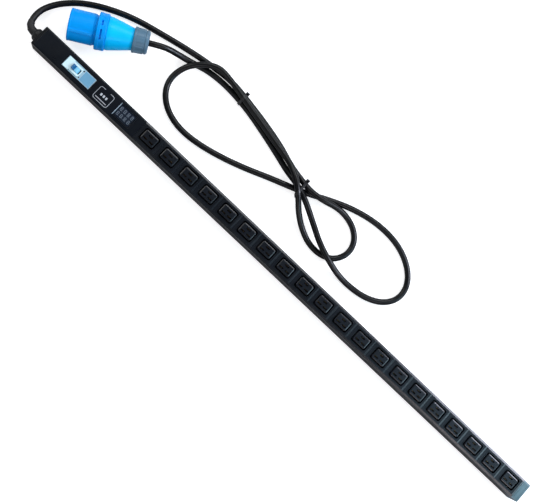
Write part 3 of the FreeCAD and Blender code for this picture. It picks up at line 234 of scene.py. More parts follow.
class Editing:
    """Edit mode on one object, entered with nothing selected."""

    def __init__(self, thing):
        self.thing = thing

    def __enter__(self):
        activate(self.thing)
        bpy.ops.object.mode_set(mode="EDIT")
        bpy.ops.mesh.select_all(action="DESELECT")
        return self

    def __exit__(self, *_):
        bpy.ops.object.mode_set(mode="OBJECT")

    def pick(self, kind, wanted):
        """Select the faces or edges whose centre (mm) and normal or direction pass a test."""
        bpy.ops.mesh.select_mode(type=kind)
        bpy.ops.mesh.select_all(action="DESELECT")
        mesh = bmesh.from_edit_mesh(self.thing.data)
        if kind == "FACE":
            for face in mesh.faces:
                face.select_set(bool(wanted(face.calc_center_median() / MM, face.normal)))
        else:
            for edge in mesh.edges:
                one, two = (vertex.co for vertex in edge.verts)
                edge.select_set(bool(wanted((one + two) / 2 / MM, (two - one).normalized())))
        bmesh.update_edit_mesh(self.thing.data)

    def extrude(self, x=0.0, y=0.0, z=0.0):
        bpy.ops.mesh.extrude_region_move(TRANSFORM_OT_translate={"value": Vector((x, y, z)) * MM})

    def inset(self, width):
        bpy.ops.mesh.inset(thickness=width * MM, use_even_offset=True)

    def stretch(self, x, y, z, centre):
        bpy.ops.transform.resize(value=(x, y, z), center_override=Vector(centre) * MM)


def modify(thing, kind, **settings):
    """Add a modifier with these settings and apply it."""
    modifier = thing.modifiers.new(kind, kind)
    for name, value in settings.items():
        setattr(modifier, name, value)
    activate(thing)
    bpy.ops.object.modifier_apply(modifier=modifier.name)
    return thing


def soften(thing, width=0.5, segments=2, angle=35):
    """Round an object's sharp edges and shade it smoothly between them."""
    modify(
        thing, "BEVEL", width=width * MM, segments=segments, limit_method="ANGLE",
        angle_limit=math.radians(angle), harden_normals=False, use_clamp_overlap=True,
    )
    smooth(thing)
    return modify(thing, "WEIGHTED_NORMAL", keep_sharp=True)


def smooth(thing, angle=32):
    activate(thing)
    bpy.ops.object.shade_smooth_by_angle(angle=math.radians(angle))
    return thing


def combine(thing, others, operation):
    for other in others:
        modify(thing, "BOOLEAN", operation=operation, object=other, solver="EXACT")
        bpy.data.objects.remove(other)
    return thing


def carve(thing, *cutters):
    return combine(thing, cutters, "DIFFERENCE")


def weld(thing, *others):
    return combine(thing, others, "UNION")


def joined(name, things):
    """Several objects as one piece of separate solids."""
    activate(*things)
    bpy.ops.object.join()
    return added(name)


def copied(thing, name, shift=(0, 0, 0)):
    """Copy with its own mesh, moved by millimetres."""
    other = thing.copy()
    other.data = thing.data.copy()
    other.name = name
    other.data.name = name
    bpy.context.scene.collection.objects.link(other)
    other.data.transform(Matrix.Translation(Vector(shift) * MM))
    return other


def turned(name, rings, sides=96, closed=False):
    """Round piece about +Z, drawn ring by ring from (height, radius) pairs in millimetres."""
    clear_selection()
    height, radius = rings[0]
    bpy.ops.mesh.primitive_circle_add(
        vertices=sides, radius=radius * MM, location=(0, 0, height * MM), fill_type="NOTHING",
    )
    thing = settle(added(name))
    with Editing(thing) as edit:
        bpy.ops.mesh.select_all(action="SELECT")
        if not closed:
            bpy.ops.mesh.edge_face_add()
            bpy.ops.mesh.select_all(action="SELECT")
            bpy.ops.mesh.select_mode(type="EDGE")
        for (low, near), (high, far) in zip(rings, rings[1:]):
            bpy.ops.mesh.extrude_edges_move(
                TRANSFORM_OT_translate={"value": Vector((0, 0, (high - low) * MM))}
            )
            edit.stretch(far / near, far / near, 1, (0, 0, high))
        if not closed:
            bpy.ops.mesh.edge_face_add()
        bpy.ops.mesh.select_all(action="SELECT")
        bpy.ops.mesh.remove_doubles(threshold=1e-6)
        bpy.ops.mesh.normals_make_consistent(inside=False)
    return smooth(thing)


def turn_to(thing, matrix):
    """Move a piece by a matrix and settle it there."""
    thing.matrix_world = matrix
    return settle(thing)


def round_corners(thing, wanted, width, segments=4):
    """Round the upright edges that pass a test on their centre."""
    with Editing(thing) as edit:
        edit.pick("EDGE", lambda centre, way: abs(way.z) > 0.99 and wanted(centre))
        bpy.ops.mesh.bevel(offset=width * MM, segments=segments, affect="EDGES")
    return thing


def fit_out(thing, material, body="strip", stands_for=()):
    """Give a piece its material and its body, and hide the nodes that it stands for."""
    thing.data.materials.clear()
    thing.data.materials.append(material)
    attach(thing, body)
    if stands_for:
        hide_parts(*stands_for)
    return thing


# ---------------------------------------------------------------- material groups

def new_group(name, inputs, outputs):
    """Empty shader node group with float, colour and vector sockets."""
    group = bpy.data.node_groups.new(name, "ShaderNodeTree")
    for title, kind in inputs:
        group.interface.new_socket(title, in_out="INPUT", socket_type=kind)
    for title, kind in outputs:
        group.interface.new_socket(title, in_out="OUTPUT", socket_type=kind)
    start = group.nodes.new("NodeGroupInput")
    end = group.nodes.new("NodeGroupOutput")
    return group, start, end


FLOAT = "NodeSocketFloat"
COLOUR = "NodeSocketColor"
VECTOR = "NodeSocketVector"


def math_node(group, operation, first, second):
    node = group.nodes.new("ShaderNodeMath")
    node.operation = operation
    node.use_clamp = operation == "MULTIPLY"
    for socket, value in zip(node.inputs, (first, second)):
        if isinstance(value, (int, float)):
            socket.default_value = value
        else:
            group.links.new(value, socket)
    return node.outputs[0]


def noise(group, vector, scale, detail=4.0, roughness=0.55):
    node = group.nodes.new("ShaderNodeTexNoise")
    node.inputs["Detail"].default_value = detail
    node.inputs["Roughness"].default_value = roughness
    group.links.new(vector, node.inputs["Vector"])
    if isinstance(scale, (int, float)):
        node.inputs["Scale"].default_value = scale
    else:
        group.links.new(scale, node.inputs["Scale"])
    return node.outputs["Fac"]


def spread_out(group, value, low, high):
    """Stretch a value's middle band over the whole of 0 to 1."""
    node = group.nodes.new("ShaderNodeMapRange")
    node.inputs["From Min"].default_value = low
    node.inputs["From Max"].default_value = high
    group.links.new(value, node.inputs["Value"])
    return node.outputs["Result"]


def mix_colours(group, factor, first, second):
    node = group.nodes.new("ShaderNodeMix")
    node.data_type = "RGBA"
    group.links.new(factor, node.inputs["Factor"])
    group.links.new(first, node.inputs["A"])
    group.links.new(second, node.inputs["B"])
    return node.outputs["Result"]


def cloudy_tone():
    """Two tones that drift over the surface, with pale dust in small specks."""
    name = "Cloudy tone"
    if name in bpy.data.node_groups:
        return bpy.data.node_groups[name]
    group, start, end = new_group(
        name,
        [("Vector", VECTOR), ("Tone", COLOUR), ("Drift tone", COLOUR), ("Dust tone", COLOUR),
         ("Scale", FLOAT), ("Dust", FLOAT)],
        [("Color", COLOUR), ("Dust mask", FLOAT)],
    )
    drift = spread_out(group, noise(group, start.outputs["Vector"], start.outputs["Scale"]), 0.35, 0.65)
    specks = spread_out(group, noise(group, start.outputs["Vector"], 900.0, 2.0), 0.62, 0.72)
    patches = spread_out(group, noise(group, start.outputs["Vector"], 34.0, 3.0), 0.4, 0.7)
    spots = math_node(group, "MULTIPLY", specks, patches)
    dust = math_node(group, "MULTIPLY", spots, start.outputs["Dust"])
    tone = mix_colours(group, drift, start.outputs["Tone"], start.outputs["Drift tone"])
    group.links.new(mix_colours(group, dust, tone, start.outputs["Dust tone"]), end.inputs["Color"])
    group.links.new(dust, end.inputs["Dust mask"])
    return group


def handled_gloss():
    """Roughness that rises where hands and shelves have dulled the surface."""
    name = "Handled gloss"
    if name in bpy.data.node_groups:
        return bpy.data.node_groups[name]
    group, start, end = new_group(
        name,
        [("Vector", VECTOR), ("Roughness", FLOAT), ("Spread", FLOAT), ("Scale", FLOAT)],
        [("Roughness", FLOAT)],
    )
    patches = noise(group, start.outputs["Vector"], start.outputs["Scale"], 5.0)
    smudges = spread_out(group, patches, 0.3, 0.7)
    lines = group.nodes.new("ShaderNodeMapping")
    lines.inputs["Scale"].default_value = (60.0, 1400.0, 1400.0)
    group.links.new(start.outputs["Vector"], lines.inputs["Vector"])
    scratches = spread_out(group, noise(group, lines.outputs["Vector"], 1.0, 2.0), 0.66, 0.74)
    amount = math_node(group, "ADD", smudges, math_node(group, "MULTIPLY", scratches, 0.6))
    change = math_node(group, "MULTIPLY", amount, start.outputs["Spread"])
    group.links.new(math_node(group, "ADD", start.outputs["Roughness"], change), end.inputs["Roughness"])
    return group


def surface_grain():
    """Height of a moulded, drawn or brushed surface: fine grain over slow waves."""
    name = "Surface grain"
    if name in bpy.data.node_groups:
        return bpy.data.node_groups[name]
    group, start, end = new_group(
        name,
        [("Vector", VECTOR), ("Stretch", VECTOR), ("Grain scale", FLOAT), ("Wave scale", FLOAT),
         ("Wave share", FLOAT)],
        [("Height", FLOAT)],
    )
    stretched = group.nodes.new("ShaderNodeVectorMath")
    stretched.operation = "MULTIPLY"
    group.links.new(start.outputs["Vector"], stretched.inputs[0])
    group.links.new(start.outputs["Stretch"], stretched.inputs[1])
    fine = noise(group, stretched.outputs[0], start.outputs["Grain scale"], 3.0, 0.6)
    slow = noise(group, start.outputs["Vector"], start.outputs["Wave scale"], 2.0)
    waves = math_node(group, "MULTIPLY", slow, start.outputs["Wave share"])
    group.links.new(math_node(group, "ADD", fine, waves), end.inputs["Height"])
    return group


def place_group(material, group, **values):
    """Put a node group into a material with its own values; sockets are passed as links."""
    tree = material.node_tree
    node = tree.nodes.new("ShaderNodeGroup")
    node.node_tree = group
    for title, value in values.items():
        socket = node.inputs[title.replace("_", " ")]
        if isinstance(value, bpy.types.NodeSocket):
            tree.links.new(value, socket)
        else:
            socket.default_value = value
    return node


def finished(
    name, tone, drift=1.35, roughness=0.4, spread=0.12, grain=1500.0, depth=0.03, stretch=(1, 1, 1),
    waves=60.0, wave_share=0.4, dust=0.25, cloud=28.0, **shader_values,
):
    """Material with a drifting tone, uneven gloss and a surface grain."""
    if name in bpy.data.materials:
        return bpy.data.materials[name]
    material = bpy.data.materials.new(name)
    material.use_nodes = True
    tree = material.node_tree
    shader = tree.nodes["Principled BSDF"]
    vector = tree.nodes.new("ShaderNodeTexCoord").outputs["Object"]
    drifted = [min(1.0, channel * drift) for channel in tone]
    pale = [channel * 0.6 + 0.16 for channel in tone]
    colour = place_group(
        material, cloudy_tone(), Vector=vector, Tone=(*tone, 1), Drift_tone=(*drifted, 1),
        Dust_tone=(*pale, 1), Scale=cloud, Dust=dust,
    )
    gloss = place_group(
        material, handled_gloss(), Vector=vector, Roughness=roughness, Spread=spread, Scale=45.0,
    )
    height = place_group(
        material, surface_grain(), Vector=vector, Stretch=stretch, Grain_scale=grain,
        Wave_scale=waves, Wave_share=wave_share,
    )
    bump = tree.nodes.new("ShaderNodeBump")
    bump.inputs["Strength"].default_value = 1.0
    bump.inputs["Distance"].default_value = depth * MM
    tree.links.new(colour.outputs["Color"], shader.inputs["Base Color"])
    tree.links.new(gloss.outputs["Roughness"], shader.inputs["Roughness"])
    tree.links.new(height.outputs["Height"], bump.inputs["Height"])
    tree.links.new(bump.outputs["Normal"], shader.inputs["Normal"])
    for title, value in shader_values.items():
        shader.inputs[title.replace("_", " ")].default_value = value
    return material


# ---------------------------------------------------------------- materials

def painted_channel():
    tone = bpy.context.scene.strip_sizes.channel_tone
    return finished(
        "painted_channel", tone, roughness=0.34, spread=0.14, grain=260.0, depth=0.008,
        stretch=(0.05, 1, 1), dust=0.03, Specular_IOR_Level=0.14,
    )


def top_plastic():
    tone = bpy.context.scene.strip_sizes.plastic_tone
    return finished(
        "top_plastic", tone, roughness=0.26, spread=0.1, grain=1900.0, depth=0.006, dust=0.03,
        Specular_IOR_Level=0.2,
    )


def outlet_black():
    tone = bpy.context.scene.strip_sizes.plastic_tone
    return finished(
        "outlet_black", tone, roughness=0.24, spread=0.08, grain=2300.0, depth=0.005, dust=0.03,
        Specular_IOR_Level=0.43,
    )


def cap_black():
    return finished(
        "cap_black", (0.003, 0.0035, 0.0045), roughness=0.32, spread=0.12, grain=1700.0, depth=0.01,
        dust=0.04, Specular_IOR_Level=0.2,
    )


# Painted sheen: the far cap is the same black plastic as the inlet cap, coloured teal-blue to stand for the
# sheen of light on it.
def far_cap_painted_sheen():
    return finished(
        "far_cap_painted_sheen", (0.07, 0.13, 0.15), drift=1.25, roughness=0.34, spread=0.12, grain=1700.0,
        depth=0.02, dust=0.1,
    )


def inner_plastic():
    return finished("inner_plastic", (0.03, 0.03, 0.032), roughness=0.5, grain=1600.0, depth=0.03)


def cord_sheath():
    tone = bpy.context.scene.cord_sizes.tone
    return finished(
        "cord_sheath", tone, drift=1.6, roughness=0.26, spread=0.1, grain=900.0, depth=0.006,
        waves=80.0, wave_share=1.0, dust=0.03, Specular_IOR_Level=0.3,
    )


def tie_nylon():
    return finished(
        "tie_nylon", (0.006, 0.006, 0.0065), roughness=0.3, grain=1400.0, depth=0.015, dust=0.05,
    )


def gland_nylon():
    return finished(
        "gland_nylon", (0.006, 0.0065, 0.008), roughness=0.35, grain=1800.0, depth=0.02, dust=0.08,
        Specular_IOR_Level=0.4,
    )


def soft_rubber():
    return finished(
        "soft_rubber", (0.009, 0.009, 0.0095), roughness=0.5, grain=1300.0, depth=0.02, dust=0.1,
    )


def breaker_white():
    return finished(
        "breaker_white", (0.7, 0.93, 0.98), drift=0.94, roughness=0.28, spread=0.1, grain=1500.0,
        depth=0.012, dust=0.1,
    )


# Painted shade: the same white plastic as the raised collar, darkened to blue-grey where the base sits
# lower than the collar.
def breaker_base_painted_shade():
    return finished(
        "breaker_base_painted_shade", (0.36, 0.54, 0.62), drift=0.94, roughness=0.3, spread=0.1, grain=1500.0,
        depth=0.01, dust=0.05,
    )


def breaker_film():
    tone = bpy.context.scene.strip_sizes.label_tone
    return finished(
        "breaker_film", tone, drift=1.12, roughness=0.42, spread=0.1, grain=2600.0, depth=0.012, dust=0.1,
    )


# Pale tone of the label's thin border; it also colours the meter's glint line, which is a painted
# highlight.
def film_edge_and_painted_glint():
    return finished("film_edge_and_painted_glint", (0.48, 0.62, 0.72), drift=1.1, roughness=0.4, grain=2000.0, depth=0.01)


def toggle_blue():
    tone = bpy.context.scene.strip_sizes.toggle_tone
    return finished("toggle_blue", tone, roughness=0.25, spread=0.1, grain=1500.0, depth=0.012, dust=0.1)


def drum_cyan():
    return finished(
        "drum_cyan", (0.2, 0.55, 0.75), drift=1.1, roughness=0.3, spread=0.1, grain=1500.0, depth=0.01,
        dust=0.05,
    )


def printed_ink():
    return finished("printed_ink", (0.42, 0.45, 0.48), roughness=0.45, grain=2500.0, depth=0.01, dust=0.05)


def meter_window():
    return finished(
        "meter_window", (0.004, 0.01, 0.025), roughness=0.08, spread=0.06, grain=900.0, depth=0.002,
        dust=0.03, Alpha=0.22, Specular_IOR_Level=0.25,
    )


def display_black():
    return finished(
        "display_black", (0.008, 0.014, 0.026), roughness=0.35, grain=1800.0, depth=0.01, dust=0.05,
    )


def digit_grey():
    return finished("digit_grey", (0.3, 0.36, 0.42), drift=1.2, roughness=0.5, grain=2200.0, depth=0.01)


def plug_blue():
    return moulded_blue("plug_blue", bpy.context.scene.plug_sizes.blue)


def rear_blue():
    return moulded_blue("rear_blue", bpy.context.scene.plug_sizes.rear_blue)


def moulded_blue(name, tone):
    return finished(
        name, tone, drift=1.1, roughness=0.3, spread=0.1, grain=1100.0, depth=0.01,
        waves=45.0, wave_share=0.8, dust=0.02, Specular_IOR_Level=0.15,
    )


def plug_insert_blue():
    return finished("plug_insert_blue", (0.0, 0.1, 0.36), roughness=0.45, grain=1500.0, depth=0.03)


def nut_slate():
    return finished(
        "nut_slate", (0.075, 0.15, 0.215), drift=1.25, roughness=0.36, spread=0.12, grain=1300.0,
        depth=0.03,
    )


def bright_steel():
    return finished(
        "bright_steel", (0.56, 0.56, 0.57), roughness=0.24, spread=0.16, grain=420.0, depth=0.01,
        stretch=(1, 1, 0.06), dust=0.1, Metallic=1.0,
    )


def plated_pin():
    return finished(
        "plated_pin", (0.72, 0.68, 0.6), roughness=0.18, spread=0.14, grain=500.0, depth=0.006,
        dust=0.05, Metallic=1.0,
    )


def contact_metal():
    return finished(
        "contact_metal", (0.5, 0.46, 0.38), roughness=0.34, spread=0.12, grain=520.0, depth=0.008,
        stretch=(0.08, 1, 1), dust=0.05, Metallic=1.0,
    )


def busbar_brass():
    return finished(
        "busbar_brass", (0.75, 0.52, 0.22), drift=1.15, roughness=0.25, spread=0.18, grain=460.0,
        depth=0.01, stretch=(0.06, 1, 1), dust=0.1, Metallic=1.0,
    )


def board_green():
    return finished("board_green", (0.01, 0.12, 0.05), roughness=0.3, grain=900.0, depth=0.02)


def varistor_blue():
    return finished("varistor_blue", (0.02, 0.09, 0.36), roughness=0.32, grain=700.0, depth=0.04)


def sleeve_brown():
    return finished("sleeve_brown", (0.16, 0.055, 0.02), roughness=0.4, grain=800.0, depth=0.02)


def sleeve_blue():
    return finished("sleeve_blue", (0.02, 0.1, 0.42), roughness=0.4, grain=800.0, depth=0.02)


def sleeve_green():
    return finished("sleeve_green", (0.12, 0.36, 0.03), roughness=0.4, grain=800.0, depth=0.02)


def studio_floor():
    """Pale paper, with a glow that only the camera sees, which fills its shadows."""
    material = finished(
        "studio_floor", bpy.context.scene.stage_sizes.floor_tone, drift=1.01, roughness=0.7, spread=0.05,
        grain=300.0, depth=0.02, dust=0.0, cloud=3.0, Emission_Color=(1, 1, 1, 1),
    )
    tree = material.node_tree
    seen = tree.nodes.new("ShaderNodeLightPath").outputs["Is Camera Ray"]
    glow = math_node(tree, "MULTIPLY", seen, bpy.context.scene.stage_sizes.floor_glow)
    tree.links.new(glow, tree.nodes["Principled BSDF"].inputs["Emission Strength"])
    return material


# ---------------------------------------------------------------- stage

class STRIP_OT_stage(bpy.types.Operator):
    """Set up the camera, the pale floor and the soft lights"""

    bl_idname = "strip.stage"
    bl_label = "Stage"

    def execute(self, context):
        self.add_camera(context)
        self.add_floor()
        self.add_lights(context)
        return {"FINISHED"}

    def add_camera(self, context):
        sizes = context.scene.stage_sizes
        eye = Vector(sizes.eye)
        back = (eye - Vector(sizes.aim)).normalized()
        right = Vector(sizes.up).cross(back).normalized()
        up = back.cross(right)
        turn = Matrix((right, up, back)).transposed().to_4x4()
        camera_data = bpy.data.cameras.new("strip_camera")
        camera_data.lens = sizes.lens
        camera = bpy.data.objects.new("strip_camera", camera_data)
        camera.matrix_world = Matrix.Translation(eye) @ turn
        context.scene.collection.objects.link(camera)
        context.scene.camera = camera

    def add_floor(self):
        clear_selection()
        bpy.ops.mesh.primitive_plane_add(size=14)
        floor = added("studio_floor")
        floor.data.materials.append(studio_floor())

    def add_lights(self, context):
        world = bpy.data.worlds.new("studio_air")
        world.use_nodes = True
        background = world.node_tree.nodes["Background"]
        background.inputs["Color"].default_value = (0.82, 0.9, 1.0, 1)
        background.inputs["Strength"].default_value = 0.12
        context.scene.world = world
        context.scene.view_settings.view_transform = "Standard"
        lights = [
            ("far_softbox", (1.35, 0.35, 2.0), (0.5, 0.0, 0.0), (1.0, 1.3), 3.5, (0.5, 0.78, 1.0)),
            ("bevel_softbox", (1.3, 1.45, 1.45), (0.5, 0.0, 0.0), (0.8, 0.8), 42, (0.82, 0.85, 1.0)),
            ("edge_softbox", (1.3, -1.1, 1.9), (0.5, 0.0, 0.0), (0.8, 0.6), 10, (0.95, 0.88, 0.92)),
            ("rib_softbox", (2.2, 0.4, 1.7), (0.4, 0.0, 0.0), (0.8, 1.0), 20, (0.6, 0.85, 1.0)),
            ("side_softbox", (-0.5, 2.0, 1.9), (-0.1, 0.1, 0.0), (2.0, 0.9), 34, (0.95, 0.97, 1.0)),
            ("near_softbox", (-0.2, -2.3, 1.9), (-0.1, 0.0, 0.0), (2.6, 1.0), 15, (1.0, 0.97, 0.95)),
            ("cord_softbox", (-2.2, 0.4, 1.8), (-0.3, 0.0, 0.0), (1.0, 2.0), 18, (1.0, 0.99, 0.97)),
        ]
        for name, place, aim, (width, height), power, colour in lights:
            light = bpy.data.lights.new(name, "AREA")
            light.shape = "RECTANGLE"
            light.size = width
            light.size_y = height
            light.energy = power
            light.color = colour
            lamp = bpy.data.objects.new(name, light)
            lamp.location = place
            lamp.rotation_euler = (Vector(aim) - Vector(place)).to_track_quat("-Z", "Y").to_euler()
            context.scene.collection.objects.link(lamp)


# ---------------------------------------------------------------- cord

def route_line():
    """Points along the smooth line of the cord's own spline."""
    line = bpy.data.curves.new("route_line", "CURVE")
    lay_route(line, 12)
    holder = bpy.data.objects.new("route_line", line)
    bpy.context.scene.collection.objects.link(holder)
    bpy.context.view_layer.update()
    mesh = bpy.data.meshes.new_from_object(holder)
    points = [vertex.co.copy() for vertex in mesh.vertices]
    bpy.data.objects.remove(holder)
    bpy.data.meshes.remove(mesh)
    return points


def lay_route(curve, fineness):
    """Give a curve the cord's route as one smooth spline."""
    curve.dimensions = "3D"
    curve.resolution_u = fineness
    curve.render_resolution_u = fineness
    spline = curve.splines.new("NURBS")
    spline.points.add(len(CORD_ROUTE) - 1)
    for point, place in zip(spline.points, CORD_ROUTE):
        point.co = (*place, 1)
    spline.order_u = 3
    spline.use_endpoint_u = True


def walked(points, distance):
    """Point and direction that far along a line of points, in metres."""
    for here, there in zip(points, points[1:]):
        step = (there - here).length
        if distance <= step:
            return here.lerp(there, distance / step), (there - here).normalized()
        distance -= step
    return points[-1], (points[-1] - points[-2]).normalized()


def sleeve_along(name, points, profile, sides=40):
    """Closed tube round a line; profile gives (distance, radius) pairs in millimetres."""
    rings = []
    mesh = bmesh.new()
    for distance, radius in profile:
        centre, way = walked(points, distance * MM)
        side = way.cross(Vector((0, 0, 1))).normalized()
        top = side.cross(way)
        ring = []
        for step in range(sides):
            angle = math.tau * step / sides
            outward = side * math.cos(angle) + top * math.sin(angle)
            ring.append(mesh.verts.new(centre + outward * radius * MM))
        rings.append(ring)
    for ring, following in zip(rings, rings[1:] + rings[:1]):
        for step in range(sides):
            beside = (step + 1) % sides
            mesh.faces.new((ring[step], ring[beside], following[beside], following[step]))
    bmesh.ops.recalc_face_normals(mesh, faces=mesh.faces)
    data = bpy.data.meshes.new(name)
    mesh.to_mesh(data)
    mesh.free()
    thing = bpy.data.objects.new(name, data)
    bpy.context.scene.collection.objects.link(thing)
    return smooth(thing)


class STRIP_OT_cord(bpy.types.Operator):
    """Lay the supply cord on its route"""

    bl_idname = "strip.cord"
    bl_label = "Supply cord"

    def execute(self, context):
        sizes = context.scene.cord_sizes
        curve = bpy.data.curves.new("supply_cord_sheath", "CURVE")
        lay_route(curve, 10)
        curve.bevel_depth = sizes.diameter / 2
        curve.bevel_resolution = 7
        curve.use_fill_caps = True
        cord = bpy.data.objects.new("supply_cord_sheath", curve)
        context.scene.collection.objects.link(cord)
        fit_out(cord, cord_sheath(), stands_for=["supply_cord"])
        return {"FINISHED"}


class STRIP_OT_ties(bpy.types.Operator):
    """Tie the bundle at its two places"""

    bl_idname = "strip.ties"
    bl_label = "Cable ties"

    places = (-262.0, -79.0)
    strap_width = 4.8
    strap_thickness = 1.1
    strap_gap = 0.15
    bundle_width = 45.0

    def execute(self, context):
        points = route_line()
        reach = context.scene.cord_sizes.diameter / MM / 2 + self.strap_gap
        parts = []
        for place in self.places:
            parts += self.tie(points, place, reach)
        ties = joined("cable_ties", parts)
        fit_out(ties, tie_nylon(), stands_for=["cord_ties"])
        return {"FINISHED"}

    def strands_at(self, points, x):
        """Where the cord's line passes a place along the strip, and which way."""
        found = []
        for here, there in zip(points, points[1:]):
            if (here.x - x) * (there.x - x) <= 0 and here.x != there.x:
                share = (x - here.x) / (there.x - here.x)
                found.append((here.lerp(there, share), (there - here).normalized()))
        edge = max(centre.y for centre, way in found)
        return [(centre, way) for centre, way in found if edge - centre.y < self.bundle_width * MM]

    def tie(self, points, place, reach):
        """Strap round the hull of the strands, with its head and cut tail."""
        half = self.strap_width / 2
        mesh = bmesh.new()
        for face_x in (place - half, place + half):
            for centre, way in self.strands_at(points, face_x * MM):
                slant = 1 / max(0.5, abs(way.x))
                for step in range(28):
                    angle = math.tau * step / 28
                    across = math.cos(angle) * reach * slant * MM
                    up = math.sin(angle) * reach * MM
                    mesh.verts.new((face_x * MM, centre.y + across, centre.z + up))
        bmesh.ops.convex_hull(mesh, input=mesh.verts)
        outside = {vertex for face in mesh.faces for vertex in face.verts}
        within = [vertex for vertex in mesh.verts if vertex not in outside]
        bmesh.ops.delete(mesh, geom=within, context="VERTS")
        ends = [face for face in mesh.faces if abs(face.normal.x) > 0.7]
        bmesh.ops.delete(mesh, geom=ends, context="FACES")
        bmesh.ops.recalc_face_normals(mesh, faces=mesh.faces)
        data = bpy.data.meshes.new("strap")
        mesh.to_mesh(data)
        mesh.free()
        strap = bpy.data.objects.new("strap", data)
        bpy.context.scene.collection.objects.link(strap)
        middle = sum((face.center for face in data.polygons), Vector()) / len(data.polygons)
        if sum((face.center - middle).dot(face.normal) for face in data.polygons) < 0:
            data.flip_normals()
        modify(strap, "SOLIDIFY", thickness=self.strap_thickness * MM, offset=1.0)
        soften(strap, 0.25, 2, 60)
        side = max((vertex.co for vertex in strap.data.vertices), key=lambda co: co.y)
        y, z = side.y / MM, side.z / MM
        head = block("tie_head", (place - 3.4, y - 1.2, z - 2.2), (place + 3.4, y + 2.9, z + 4.0))
        slot = block("tie_slot", (place - 2.6, y - 0.6, z - 4), (place + 2.6, y + 1.1, z + 6))
        soften(carve(head, slot), 0.5, 3)
        tail = block("tie_tail", (place - 2.3, y - 0.4, z - 1), (place + 2.3, y + 0.8, z + 7.5))
        soften(tail, 0.3, 2)
        return [strap, head, tail]


# ---------------------------------------------------------------- channel and ends

def box_mm(node):
    low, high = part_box(node)
    return low / MM, high / MM


